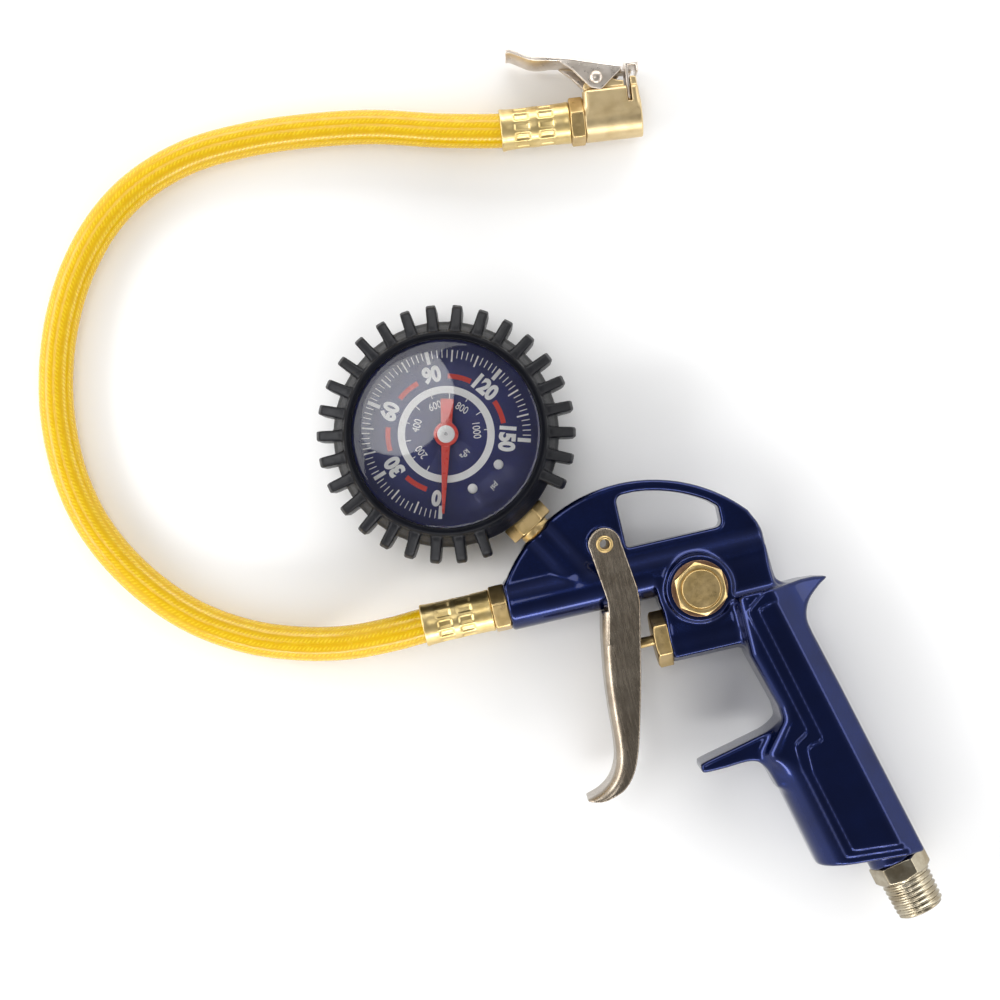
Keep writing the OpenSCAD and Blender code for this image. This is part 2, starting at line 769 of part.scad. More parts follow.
// Side view of the thumb lever's sheet: a curled finger end, a flat back and a tongue
module chuck_lever_sheet() {
    polygon([
        [-24.7, 21], [-22.1, 19.6], [-19.6, 18.4], [-17, 17.6], [-13.6, 17.3], [-10.2, 17.3], [-8, 16.7],
        [-5, 15.8], [0, 14.5], [4.4, 13.3], [4.2, 12.2], [-0.3, 13.4], [-5.3, 14.7], [-8.2, 15.6],
        [-10.3, 16.2], [-13.6, 16.2], [-17.3, 16.5], [-20.1, 17.4], [-22.7, 18.7], [-25.2, 20]
    ]);
}

module chuck_lever_cheek() {
    polygon([
        [-9.6, 16], [-7.4, 12.6], [-4.6, 7.8], [-3.6, 7.3], [-1.9, 7.3], [0.5, 9], [3.6, 11.6], [4.4, 13],
        [0, 14.4], [-5, 15.6]
    ]);
}

module chuck_lever() {
    half = chuck_lever_w / 2;
    sheet = 0.9;
    color("silver") in_chuck() difference() {
        union() {
            plate(chuck_lever_w) chuck_lever_sheet();
            for (side = [-1, 1])
                translate([0, 0, side * (half - sheet / 2)]) plate(sheet) chuck_lever_cheek();
            plate(5) polygon([[2.6, 13.1], [2.2, 11.8], [4.6, 11.1], [7.2, 11.1], [7.2, 12], [4.8, 12.2]]);
        }
        translate([chuck_pivot.x, chuck_pivot.y, -8]) cylinder(h = 16, r = chuck_rivet_r + fit_gap);
    }
}

// Plate that drops on the tyre valve's thread, with an arch below and a window for the tongue
module clip_plate() {
    width = 8.8;
    color("silver") in_chuck() translate([slot_x[0] + 0.2, 0, 0]) difference() {
        union() {
            translate([0, slot_floor + 0.7, -width / 2]) cube([clip_t, 9.9, width]);
            translate([0, 12.7, -width / 2]) cube([3.6, 0.9, width]);
        }
        rod_x(-1, 3, chuck_bore_r + fit_gap);
        translate([-1, 10.3, -2.9]) cube([3, 2.1, 5.8]);
    }
}

// Torsion spring round the rivet: one leg on the body, one under the lever
module chuck_spring() {
    turns = 3;
    steps = 12;
    coil_r = 1.85;
    coil = [for (i = [0:turns * steps])
        let (a = 215 - 360 * i / steps)
        [chuck_pivot.x + coil_r * cos(a), chuck_pivot.y + coil_r * sin(a), -1.5 + 3 * i / (turns * steps)]];
    path = concat([[-6.2, 8.2, -1.5]], coil, [[-8.4, 14.6, 1.5]]);
    color("silver") in_chuck() swept_bar(path, 0.35, 6);
}

gun_body();
pivot_rivet();
trigger_lever();
hex_plug();
plug_washer();
gland_nut();
gland_seal();
valve_stem();
valve_seal();
valve_seat();
valve_spring();
inlet_fitting();
inlet_screen();
gauge_socket();
gauge_case();
gauge_boot();
lens_gasket();
gauge_lens();
dial_plate();
dial_screws();
pointer();
pinion_arbor();
sector_gear();
hairspring();
bourdon_tube();
bourdon_link();
movement_back_plate();
movement_front_plate();
movement_pillars();
case_screws();
hose_nut_gun();
ferrule_gun();
hose();
ferrule_chuck();
hose_nut_chuck();
chuck_body();
chuck_seal();
chuck_pin();
chuck_rivet();
chuck_lever();
clip_plate();
chuck_spring();
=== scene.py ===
from math import acos, cos, hypot, pi, radians, sin, tan

import bpy
import numpy as np
from mathutils import Matrix, Vector


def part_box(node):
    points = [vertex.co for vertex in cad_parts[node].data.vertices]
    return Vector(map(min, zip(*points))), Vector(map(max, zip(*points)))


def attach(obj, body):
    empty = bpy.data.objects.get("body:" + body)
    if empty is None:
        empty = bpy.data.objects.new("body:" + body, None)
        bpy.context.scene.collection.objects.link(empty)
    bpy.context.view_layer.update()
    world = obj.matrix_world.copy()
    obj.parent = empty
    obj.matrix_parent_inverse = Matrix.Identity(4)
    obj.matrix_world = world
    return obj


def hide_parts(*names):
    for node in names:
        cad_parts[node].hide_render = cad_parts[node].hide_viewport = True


# Looks of the tyre inflator. Every shape is made in millimetres in the frame of the sub-part that
# it belongs to, and add_mesh() carries it to the row frame in metres.

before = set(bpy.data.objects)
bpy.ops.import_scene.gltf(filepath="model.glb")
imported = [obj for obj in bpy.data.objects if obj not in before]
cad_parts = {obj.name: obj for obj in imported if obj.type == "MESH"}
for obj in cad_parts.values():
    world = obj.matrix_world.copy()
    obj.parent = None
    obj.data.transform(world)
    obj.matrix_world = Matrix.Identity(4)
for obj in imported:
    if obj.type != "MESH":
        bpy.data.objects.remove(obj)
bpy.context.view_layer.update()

MM = 0.001


def middle(node):
    """Centre of a CAD node's box, in millimetres."""
    lo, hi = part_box(node)
    return (lo + hi) / (2 * MM)


# ---- camera ----

VIEW_CENTRE = (-23.6, 39.3)
VIEW_PLANE = 12.0
VIEW_HEIGHT = 540.0
VIEW_WIDTH = 265.2
VIEW_TURN = radians(-13)
SENSOR = 36.0

camera = bpy.data.objects.new("camera", bpy.data.cameras.new("camera"))
camera.data.sensor_width = SENSOR
camera.data.lens = SENSOR * VIEW_HEIGHT / VIEW_WIDTH
camera.location = [c * MM for c in (*VIEW_CENTRE, VIEW_PLANE + VIEW_HEIGHT)]
camera.rotation_euler = (0, 0, VIEW_TURN)
bpy.context.scene.collection.objects.link(camera)
bpy.context.scene.camera = camera


# ---- places of the sub-parts ----

# The gun's outlines are drawn from here, 0.5 mm before the trigger's pivot, on its middle plane
GUN = Matrix.Translation(middle("pivot_rivet") - Vector((0.5, 0, 0)))
INLET_LEAN = radians(14.2)
INLET_AT = (57.35, -98.5, 0)
INLET = (
    GUN
    @ Matrix.Translation(INLET_AT)
    @ Matrix.Rotation(INLET_LEAN, 4, "Z")
    @ Matrix.Rotation(pi / 2, 4, "X")
)
dial_middle = middle("dial_plate")
GAUGE = Matrix.Translation((dial_middle.x, dial_middle.y, 0)) @ Matrix.Rotation(radians(30), 4, "Z")
CHUCK_PIVOT = Vector((-2.6, 10.2, 0))
CHUCK = (
    Matrix.Translation(middle("chuck_rivet"))
    @ Matrix.Rotation(radians(-6.4), 4, "Z")
    @ Matrix.Translation(-CHUCK_PIVOT)
)
BARREL_Y = -10.5
LOWER_Y = -28.0
# Slope of the turned edges on the hexagons
CHAMFER = 1.7
LIP_R = 24.2
FADE_R = 40.0
HOSE_R = 4.6
HOSE_ROUND = 2 * pi * HOSE_R


# ---- meshes ----


def put(name, data):
    """New object in the scene."""
    made = bpy.data.objects.new(name, data)
    bpy.context.scene.collection.objects.link(made)
    return made


def add_mesh(name, verts, faces, place, body, slot, material, nodes=(), normals=None):
    """A piece from points in millimetres in the frame `place`; faces is an array or a list."""
    to_row = np.array(Matrix.Scale(MM, 4) @ place)
    verts = np.asarray(verts, float) @ to_row[:3, :3].T + to_row[:3, 3]
    mesh = bpy.data.meshes.new(name)
    mesh.from_pydata(verts.tolist(), [], faces.tolist() if hasattr(faces, "tolist") else faces)
    mesh.polygons.foreach_set("use_smooth", np.ones(len(mesh.polygons), bool))
    if normals is not None:
        mesh.normals_split_custom_set_from_vertices((normals @ np.array(place)[:3, :3].T).tolist())
    mesh.materials.append(material)
    piece = put(name, mesh)
    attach(piece, body)
    if nodes:
        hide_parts(*nodes)
    return piece


def sample(grid, at):
    """Grid's values at points given in cells, straight-line interpolated."""
    top = np.array(grid.shape[:3]) - 2
    base = np.clip(np.floor(at).astype(int), 0, top)
    part = at - base
    total = 0
    for corner in np.ndindex(2, 2, 2):
        weight = np.prod(np.where(corner, part, 1 - part), axis=1)
        value = grid[tuple((base + corner).T)]
        total = total + (weight * value.T).T
    return total


def surface(field, lo, hi, step):
    """Mesh of the surface where field is 0: one point in each cell that it crosses, moved onto it."""
    axes = [np.arange(a - 1.5 * step, b + 2.5 * step, step) for a, b in zip(lo, hi)]
    shape = tuple(len(a) for a in axes)
    values = np.broadcast_to(field(*np.meshgrid(*axes, indexing="ij", sparse=True)), shape)
    values = np.ascontiguousarray(values, dtype=np.float32)
    inside = values < 0
    count = sum(
        inside[a : shape[0] - 1 + a, b : shape[1] - 1 + b, c : shape[2] - 1 + c].astype(np.int8)
        for a, b, c in np.ndindex(2, 2, 2)
    )
    cells = np.argwhere((count > 0) & (count < 8))
    index = np.full(tuple(s - 1 for s in shape), -1, np.int64)
    index[tuple(cells.T)] = np.arange(len(cells))
    total = np.zeros((len(cells), 3))
    crossed = np.zeros(len(cells))
    faces = []
    for axis in range(3):
        unit = np.eye(3, dtype=int)[axis]
        others = np.eye(3, dtype=int)[[(axis + 1) % 3, (axis + 2) % 3]]
        for a, b in np.ndindex(2, 2):
            start = cells + a * others[0] + b * others[1]
            near = values[tuple(start.T)]
            far = values[tuple((start + unit).T)]
            hit = (near < 0) != (far < 0)
            share = np.where(hit, near / np.where(hit, near - far, 1), 0)
            total += hit[:, None] * (start + share[:, None] * unit)
            crossed += hit
        ends = [slice(1, -1)] * 3
        ends[axis] = slice(0, -1)
        shifted = list(ends)
        shifted[axis] = slice(1, None)
        edge_in = inside[tuple(ends)]
        edges = np.argwhere(edge_in != inside[tuple(shifted)])
        rising = edge_in[tuple(edges.T)]
        edges = edges + others.sum(0)
        around = ((0, 0), (1, 0), (1, 1), (0, 1))
        ring = [index[tuple((edges - a * others[0] - b * others[1]).T)] for a, b in around]
        quads = np.stack(ring, axis=1)
        faces.append(np.where(rising[:, None], quads, quads[:, ::-1]))
    points = total / crossed[:, None]
    slopes = np.stack(np.gradient(values, step), axis=-1)
    origin = np.array([a[0] for a in axes])
    for _ in range(2):
        slope = sample(slopes, points)
        at = origin + points * step
        miss = field(at[:, 0], at[:, 1], at[:, 2])
        move = (miss / np.maximum((slope**2).sum(1), 0.2))[:, None] * slope / step
        points = points - np.clip(move, -0.6, 0.6)
    normals = sample(slopes, points)
    normals /= np.maximum(np.linalg.norm(normals, axis=1), 1e-6)[:, None]
    return origin + points * step, np.concatenate(faces), normals


def add_solid(name, field, lo, hi, step, place, body, slot, material, *nodes):
    """A piece whose surface is where field(x, y, z), a distance in millimetres, is 0."""
    verts, quads, normals = surface(field, lo, hi, step)
    return add_mesh(name, verts, quads, place, body, slot, material, nodes, normals)


# ---- distance fields ----


def both(a, b, r):
    """Where a and b overlap, with an edge of radius r."""
    rounded = np.hypot(np.maximum(a + r, 0), np.maximum(b + r, 0))
    return np.minimum(np.maximum(a, b), -r) + rounded


def join(a, b, r):
    """a and b together, with a fillet of radius r between them."""
    return np.maximum(np.minimum(a, b), r) - np.hypot(np.maximum(r - a, 0), np.maximum(r - b, 0))


def cut(a, b, r):
    """a without b."""
    return both(a, -b, r)


def slab(v, lo, hi):
    return np.maximum(lo - v, v - hi)


def round_bar(u, v, r):
    return np.hypot(u, v) - r


def cone(r, along, start_r, slope):
    """Inside of a cone whose radius is start_r where `along` is 0 and grows by slope."""
    return (r - start_r - along * slope) / hypot(1, slope)


def hexagon(u, v, across_flats, turn, r):
    """Hexagon with a corner at angle `turn` in degrees."""
    sides = []
    for k in range(3):
        angle = radians(turn + 30 + 60 * k)
        sides.append(np.abs(u * cos(angle) + v * sin(angle)) - across_flats / 2)
    return both(both(sides[0], sides[1], r), sides[2], r)


def outline(x, y, points):
    """Signed distance to a closed outline."""
    best, odd = np.inf, False
    for (ax, ay), (bx, by) in zip(points, np.roll(points, -1, axis=0)):
        ex, ey = bx - ax, by - ay
        wx, wy = x - ax, y - ay
        share = np.clip((wx * ex + wy * ey) / (ex * ex + ey * ey), 0, 1)
        best = np.minimum(best, (wx - share * ex) ** 2 + (wy - share * ey) ** 2)
        if ey:
            odd = odd ^ (((ay <= y) != (by <= y)) & (x < ax + (y - ay) * ex / ey))
    return np.where(odd, -1, 1) * np.sqrt(best)


def arc(centre, r, start, end, steps=24):
    """Points on a circle, angles in degrees."""
    angles = np.radians(np.linspace(start, end, steps + 1))
    return np.stack([centre[0] + r * np.cos(angles), centre[1] + r * np.sin(angles)], axis=1)


def spline(points, steps=8):
    """Smooth open curve through the points."""
    p = np.asarray(points, float)
    p = np.concatenate([[2 * p[0] - p[1]], p, [2 * p[-1] - p[-2]]])
    t = np.arange(steps)[:, None] / steps
    found = []
    for a, b, c, d in zip(p, p[1:], p[2:], p[3:]):
        square, cube = 2 * a - 5 * b + 4 * c - d, 3 * b - a - 3 * c + d
        found.append(0.5 * (2 * b + (c - a) * t + square * t**2 + cube * t**3))
    return np.concatenate([*found, p[-2:-1]])


def rounded(points, steps=5):
    """Closed outline from corners (x, y, radius)."""
    found = []
    p = np.asarray(points, float)
    for before, here, after in zip(np.roll(p, 1, axis=0), p, np.roll(p, -1, axis=0)):
        a, b = before[:2] - here[:2], after[:2] - here[:2]
        la, lb = np.linalg.norm(a), np.linalg.norm(b)
        half = acos(max(-1, min(1, a @ b / (la * lb)))) / 2
        reach = min(here[2] / tan(half), la * 0.49, lb * 0.49) if here[2] else 0
        if not reach:
            found.append(here[:2])
            continue
        start, end = here[:2] + a / la * reach, here[:2] + b / lb * reach
        for t in np.linspace(0, 1, steps + 1):
            found.append((1 - t) ** 2 * start + 2 * t * (1 - t) * here[:2] + t * t * end)
    return np.array(found)


# ---- swept and turned meshes ----


def directions(path):
    """Unit vectors along a path of points."""
    found = np.gradient(path, axis=0)
    return found / np.linalg.norm(found, axis=1)[:, None]


def circle(at, a, b, radius, sides):
    """Points round `at`, from the direction a towards b."""
    angles = [2 * pi * k / sides for k in range(sides)]
    return [at + radius * (cos(angle) * a + sin(angle) * b) for angle in angles]


def tube(path, profile, sides):
    """Closed mesh round a path. profile: (distance along, radius); a radius of 0 closes the end.
    Returns the points, the faces and each point's (distance along, share of the way round)."""
    path = np.asarray(path, float)
    along = np.concatenate([[0], np.cumsum(np.linalg.norm(np.diff(path, axis=0), axis=1))])
    tangents = directions(path)
    side = np.cross((0, 0, 1.0), tangents)
    side /= np.linalg.norm(side, axis=1)[:, None]
    up = np.cross(tangents, side)
    verts, marks, rings = [], [], []
    for distance, radius in profile:
        at, a, b = ([np.interp(distance, along, v[:, k]) for k in range(3)] for v in (path, side, up))
        points = circle(np.array(at), np.array(a), np.array(b), radius, sides if radius else 1)
        rings.append(list(range(len(verts), len(verts) + len(points))))
        verts += points
        marks += [(distance, k / sides) for k in range(len(points))]
    return verts, joined_rings(rings), marks


def joined_rings(rings):
    """Faces between rings of point numbers; a ring of one point is a tip."""
    faces = []
    for low, high in zip(rings, rings[1:]):
        n = max(len(low), len(high))
        for k in range(n):
            a, b = low[k % len(low)], low[(k + 1) % len(low)]
            c, d = high[(k + 1) % len(high)], high[k % len(high)]
            faces.append(list(dict.fromkeys((a, b, c, d))))
    return faces


def lathe(profile, segments=96):
    """Mesh turned about Z from (radius, z) points; closed if they end on the axis or where they began."""
    verts, rings = [], []
    for r, z in profile:
        n = segments if r > 1e-6 else 1
        rings.append(list(range(len(verts), len(verts) + n)))
        angles = 2 * pi * np.arange(n) / segments
        verts += [(r * cos(a), r * sin(a), z) for a in angles]
    return verts, joined_rings(rings)


# ---- materials ----


def set_stops(ramp, stops):
    """Gives a colour ramp its stops: (position, (r, g, b))."""
    elements = ramp.color_ramp.elements
    while len(elements) < len(stops):
        elements.new(0.5)
    for element, (position, rgb) in zip(elements, stops):
        element.position, element.color = position, (*rgb, 1)


class Look:
    """A principled material whose colour, roughness and relief come from patterns sized in millimetres.
    The plain colour and roughness that it starts from are for a viewer that doesn't read patterns."""

    def __init__(self, name, color, roughness, metallic=0.0, **sockets):
        self.material = bpy.data.materials.new(name)
        self.material.use_nodes = True
        self.nodes, self.links = self.material.node_tree.nodes, self.material.node_tree.links
        self.shader = self.nodes["Principled BSDF"]
        values = {"Base Color": (*color, 1), "Roughness": roughness, "Metallic": metallic, **sockets}
        for socket, value in values.items():
            self.shader.inputs[socket].default_value = value
        self.relief = None

    def node(self, kind, **values):
        made = self.nodes.new(kind)
        for key, value in values.items():
            if key in made.inputs:
                made.inputs[key].default_value = value
            else:
                setattr(made, key, value)
        return made

    def space(self, stretch=(1, 1, 1), turn=0.0, place=None):
        """Coordinates in millimetres, of the row or of a place, turned about Z and stretched."""
        source = self.node("ShaderNodeTexCoord").outputs["Object"]
        scale = 1 / MM
        if place is not None:
            into = self.node("ShaderNodeMapping", vector_type="POINT")
            back = place.inverted()
            into.inputs["Location"].default_value = back.translation
            into.inputs["Rotation"].default_value = back.to_euler()
            into.inputs["Scale"].default_value = (scale,) * 3
            self.links.new(source, into.inputs["Vector"])
            source, scale = into.outputs["Vector"], 1
        mapping = self.node("ShaderNodeMapping", vector_type="POINT")
        mapping.inputs["Rotation"].default_value = (0, 0, turn)
        mapping.inputs["Scale"].default_value = [s * scale for s in stretch]
        self.links.new(source, mapping.inputs["Vector"])
        return mapping.outputs["Vector"]

    def noise(self, size, detail=3.0, roughness=0.5, space=None):
        """Cloudy pattern whose features are about `size` millimetres."""
        made = self.node("ShaderNodeTexNoise", Scale=1 / size, Detail=detail, Roughness=roughness)
        self.links.new(space if space is not None else self.space(), made.inputs["Vector"])
        return made.outputs["Fac"]

    def color(self, pattern, stops):
        """Base colour from a pattern: stops are (position, (r, g, b))."""
        ramp = self.node("ShaderNodeValToRGB")
        set_stops(ramp, stops)
        self.links.new(pattern, ramp.inputs["Fac"])
        self.links.new(ramp.outputs["Color"], self.shader.inputs["Base Color"])
        return self

    def math(self, operation, *values):
        """Result of a sum on numbers or other nodes' outputs."""
        made = self.node("ShaderNodeMath", operation=operation)
        for socket, value in zip(made.inputs, values):
            if isinstance(value, bpy.types.NodeSocket):
                self.links.new(value, socket)
            else:
                socket.default_value = value
        return made.outputs[0]

    def spread(self, pattern, pattern_range, range_to, socket):
        """Drives one of the shader's sockets by a pattern, stretched from one range to another."""
        made = self.node("ShaderNodeMapRange")
        ends = zip(("From Min", "From Max", "To Min", "To Max"), (*pattern_range, *range_to))
        for name, value in ends:
            made.inputs[name].default_value = value
        self.links.new(pattern, made.inputs["Value"])
        self.links.new(made.outputs["Result"], self.shader.inputs[socket])
        return self

    def rough(self, pattern, low, high):
        return self.spread(pattern, (0.3, 0.7), (low, high), "Roughness")

    def bump(self, pattern, depth, strength=1.0):
        """Relief of `depth` millimetres; each call lies on the one before."""
        made = self.node("ShaderNodeBump", Strength=strength, Distance=depth * MM)
        self.links.new(pattern, made.inputs["Height"])
        if self.relief is not None:
            self.links.new(self.relief, made.inputs["Normal"])
        self.relief = made.outputs["Normal"]
        self.links.new(self.relief, self.shader.inputs["Normal"])
        return self


def metal(name, color, dark, low, high):
    """Bare metal: two tones in patches, uneven polish and fine grain."""
    look = Look(name, color, low, 1.0)
    look.color(look.noise(4, 4), ((0.35, dark), (0.6, color)))
    look.rough(look.noise(1.6, 5, 0.6), low, high)
    return look.bump(look.noise(0.25, 2), 0.01).material


def make_paint():
    look = Look("navy_gloss_paint", (0.003, 0.010, 0.075), 0.26, 0.85,
        **{"Coat Weight": 0.4, "Coat Roughness": 0.03})
    look.color(look.noise(9, 3), ((0.3, (0.0022, 0.0085, 0.060)), (0.7, (0.0034, 0.0125, 0.085))))
    look.rough(look.noise(0.5, 2), 0.17, 0.24)
    return look.bump(look.noise(2.6, 2), 0.012, 0.5).material


def make_brushed_steel():
    """Sheet steel rolled and brushed along the lever, with faint stains."""
    look = Look("brushed_steel", (0.42, 0.37, 0.30), 0.32, 1.0)
    along = look.space(stretch=(1, 0.07, 1), turn=radians(4))
    look.color(look.noise(5, 5, 0.65), ((0.3, (0.25, 0.205, 0.157)), (0.62, (0.37, 0.315, 0.25))))
    look.rough(look.noise(0.35, 3, 0.6, along), 0.19, 0.32)
    look.bump(look.noise(0.16, 2, 0.5, along), 0.012)
    return look.bump(look.noise(0.9, 4), 0.01).material


def make_boot_rubber():
    """Black rubber whose inner lip shines less than its teeth."""
    look = Look("black_rubber", (0.012, 0.013, 0.018), 0.52, 0.0, **{"Specular IOR Level": 0.24})
    look.color(look.noise(7, 4), ((0.35, (0.0025, 0.0027, 0.0045)), (0.65, (0.0045, 0.005, 0.008))))
    look.rough(look.noise(1.2, 4, 0.6), 0.30, 0.44)
    inward = look.node("ShaderNodeTexGradient", gradient_type="SPHERICAL")
    look.links.new(look.space(stretch=(1 / FADE_R, 1 / FADE_R, 0), place=GAUGE), inward.inputs["Vector"])
    dull, shiny = 1 - (LIP_R + 1.4) / FADE_R, 1 - (LIP_R + 2.8) / FADE_R
    look.spread(inward.outputs["Fac"], (shiny, dull), (0.22, 0.07), "Specular IOR Level")
    look.bump(look.noise(0.35, 3, 0.7), 0.02)
    return look.bump(look.noise(6, 2), 0.06, 0.5).material


def make_hose():
    """Clear golden skin over a light braid: short leaning stitches in rows along the hose, worked out
    from the hose's own coordinates, kept as a UV map: millimetres along it and round it."""
    look = Look("golden_hose", (0.80, 0.50, 0.01), 0.2, 0.0,
        **{"Subsurface Weight": 0.2, "Subsurface Scale": 0.003, "Specular IOR Level": 0.3,
        "Coat Weight": 0.22, "Coat Roughness": 0.14})
    look.shader.inputs["Subsurface Radius"].default_value = (1.0, 0.55, 0.08)
    split = look.node("ShaderNodeSeparateXYZ")
    look.links.new(look.node("ShaderNodeUVMap", uv_map="hose").outputs["UV"], split.inputs["Vector"])

    def threads(count, along=None):
        """0 on each of `count` lines round the hose and 0.5 half way between them; `along` is their pitch
        along the hose, or None for lines that run straight along it."""
        share = look.math("MULTIPLY", split.outputs["Y"], count / HOSE_ROUND)
        if along:
            share = look.math("ADD", share, look.math("DIVIDE", split.outputs["X"], along))
        return look.math("PINGPONG", share, 0.5)

    braid = look.math("MAXIMUM", threads(20, 1.15), threads(14))
    mixed = look.math("MULTIPLY", braid, look.noise(2.2, 4, 0.6))
    look.color(mixed, ((0.05, (0.76, 0.54, 0.022)), (0.13, (0.67, 0.42, 0.005)),
        (0.24, (0.63, 0.375, 0.003))))
    look.rough(look.noise(1.5, 3), 0.14, 0.30)
    look.bump(mixed, 0.22, 0.3)
    return look.material


def make_lens():
    look = Look("clear_plastic", (1, 1, 1), 0.03, 0.0,
        **{"Transmission Weight": 1.0, "IOR": 1.45, "Specular IOR Level": 0.34})
    look.rough(look.noise(4, 4), 0.01, 0.03)
    return look.bump(look.noise(12, 2), 0.003, 0.3).material


def plain(name, color, roughness, size=1.5, depth=0.01, spread=0.82, **sockets):
    """Plastic, rubber or enamel: a slightly uneven tone and a fine grain."""
    look = Look(name, color, roughness, 0.0, **sockets)
    look.color(look.noise(size * 3, 4), ((0.3, tuple(c * spread for c in color)), (0.7, color)))
    look.rough(look.noise(size, 3), roughness * 0.85, roughness * 1.15)
    return look.bump(look.noise(size * 0.2, 2), depth).material


BRASS, BRASS_DARK = (0.68, 0.50, 0.24), (0.56, 0.40, 0.17)
paint = make_paint()
steel_sheet = make_brushed_steel()
rubber = make_boot_rubber()
hose_skin = make_hose()
lens_clear = make_lens()
brass = metal("brass_machined", BRASS, BRASS_DARK, 0.26, 0.42)
brass_bright = metal("brass_stamped", (0.80, 0.62, 0.29), (0.70, 0.52, 0.21), 0.28, 0.40)
brass_satin = metal("brass_satin", (0.70, 0.55, 0.31), (0.62, 0.47, 0.25), 0.34, 0.46)
nickel = metal("nickel_plate", (0.76, 0.69, 0.62), (0.60, 0.53, 0.46), 0.25, 0.38)
nickel_worn = metal("nickel_worn", (0.45, 0.40, 0.30), (0.30, 0.25, 0.17), 0.16, 0.28)
# Copper darkened far below its own colour: painted shade for the dark gap round the plug's hexagon (the
# Bourdon tube shares it)
shaded_copper = metal("dark_copper_painted_shade", (0.22, 0.13, 0.08), (0.14, 0.08, 0.05), 0.36, 0.5)
bright_steel = metal("spring_steel", (0.60, 0.60, 0.60), (0.44, 0.44, 0.45), 0.18, 0.32)
seal_rubber = plain("seal_rubber", (0.018, 0.018, 0.019), 0.55)
case_black = plain("case_enamel", (0.012, 0.012, 0.014), 0.35)
dial_navy = plain("dial_navy", (0.011, 0.016, 0.125), 0.42, 3.0, 0.004)
print_white = plain("print_white", (0.84, 0.84, 0.84), 0.45, 1.0, 0.004, 0.93)
print_red = plain("print_red", (0.62, 0.035, 0.022), 0.42, 1.0, 0.004, 0.88)
pointer_red = plain("pointer_red", (0.68, 0.040, 0.026), 0.30, 1.0, 0.006, 0.88, **{"Coat Weight": 0.4})


# ---- hose ----

# The route of part.scad, from the gun's drawing point on the surface
HOSE_ROUTE = [
    (-34, -10.5, 12), (-42, -10.5, 12), (-50.5, -10.5, 12), (-60, -10.9, 11.1), (-72, -10.5, 8.2),
    (-84.5, -8, 5.9), (-97, -3.4, 4.8), (-109, 4, 4.7), (-118.5, 13.2, 4.7), (-126.5, 24.6, 4.7),
    (-132, 37, 4.7), (-134.6, 50.5, 4.7), (-134.4, 65, 4.7), (-131.8, 78.5, 4.7), (-127, 91.5, 4.7),
    (-120, 103.5, 4.7), (-110.3, 114.2, 4.7), (-98.5, 121.8, 4.7), (-84, 126.2, 4.7),
    (-67.5, 127, 4.7), (-51, 125.6, 4.8), (-34, 122.6, 5.2), (-17.5, 117.7, 5.9),
    (-1.5, 113.8, 6.5), (7, 112.85, 6.5), (15, 111.95, 6.5),
]
HOSE_BORE_R = 2.5
FERRULE_MOUTH = Vector((-50.8, BARREL_Y, 0))


def make_hose_piece():
    """Round tube with a bore as deep as the barbs at both ends."""
    route = spline(HOSE_ROUTE)
    length = np.linalg.norm(np.diff(route, axis=0), axis=1).sum()
    bore_depth, step = 17.0, 1.2
    rings = [(at, HOSE_R) for at in np.linspace(0, length, round(length / step))]
    start = [(bore_depth, 0), (bore_depth, HOSE_BORE_R), (0, HOSE_BORE_R)]
    end = [(length - at, r) for at, r in reversed(start)]
    verts, faces, marks = tube(route, [*start, *rings, *end], 32)
    flat = Matrix.Translation((GUN.translation.x, GUN.translation.y, 0))
    piece = add_mesh("braided_hose", verts, faces, flat, "gun", "hose_yellow", hose_skin, ["hose"])
    uv = piece.data.uv_layers.new(name="hose")
    for polygon in piece.data.polygons:
        shares = [marks[v][1] for v in polygon.vertices]
        for loop, vertex in zip(polygon.loop_indices, polygon.vertices):
            along, share = marks[vertex]
            uv.data[loop].uv = (along, (share + (share == 0 and max(shares) > 0.5)) * HOSE_ROUND)
    path = [(flat @ Vector(p)) * MM for p in route]
    return piece, path, length * MM


hose_piece, hose_path, hose_length = make_hose_piece()


# ---- gun casting ----

PIVOT_X = 0.5
BARREL_FRONT = -27.8
WEB_HALF = 4.7
DOME_MID = (7.8, -27.4)
PLUG_AT = (22.1, -16.8)
# The gauge's stem enters the casting this far from the dial's middle
STEM_FACE = 35.4
STEM_LEAN = radians(30)
DIAL_AT = (-33.3, 37.2)
GRIP_HALF = 12.0
STEP_DROP = 0.5
BEVEL, HORN_BEVEL = 0.80, 0.52


def leaning(x, y, lean, at):
    """Distance across and distance down a line through the point `at` that leans from -Y towards +X."""
    c, s = cos(lean), sin(lean)
    dx, dy = x - at[0], y - at[1]
    return dx * c + dy * s, dx * s - dy * c


GRIP_FRONT = np.concatenate([
    rounded([(30.5, -30, 0), (30.9, -37, 2), (35.1, -51.5, 3), (35.3, -54.8, 2.5), (33.5, -57.8, 0)])[1:-1],
    spline([(29.3, -62.5), (29.1, -65), (30.2, -68.6), (32.4, -78), (36.4, -95.2)])[:-1],
    [(39.3, -108), (110, -108), (110, -10), (30.5, -10)],
])
GRIP_BACK = np.concatenate([
    [(0, -21.6), (42.6, -21.0), (49, -20.6)],
    spline([(52.6, -20.75), (56.0, -21.7), (53.4, -23.4), (50.2, -25.9), (48.4, -28.6), (47.8, -31.5),
        (48.5, -35.5)])[:-1],
    [(52.4, -50), (66.3, -105), (0, -105)],
])
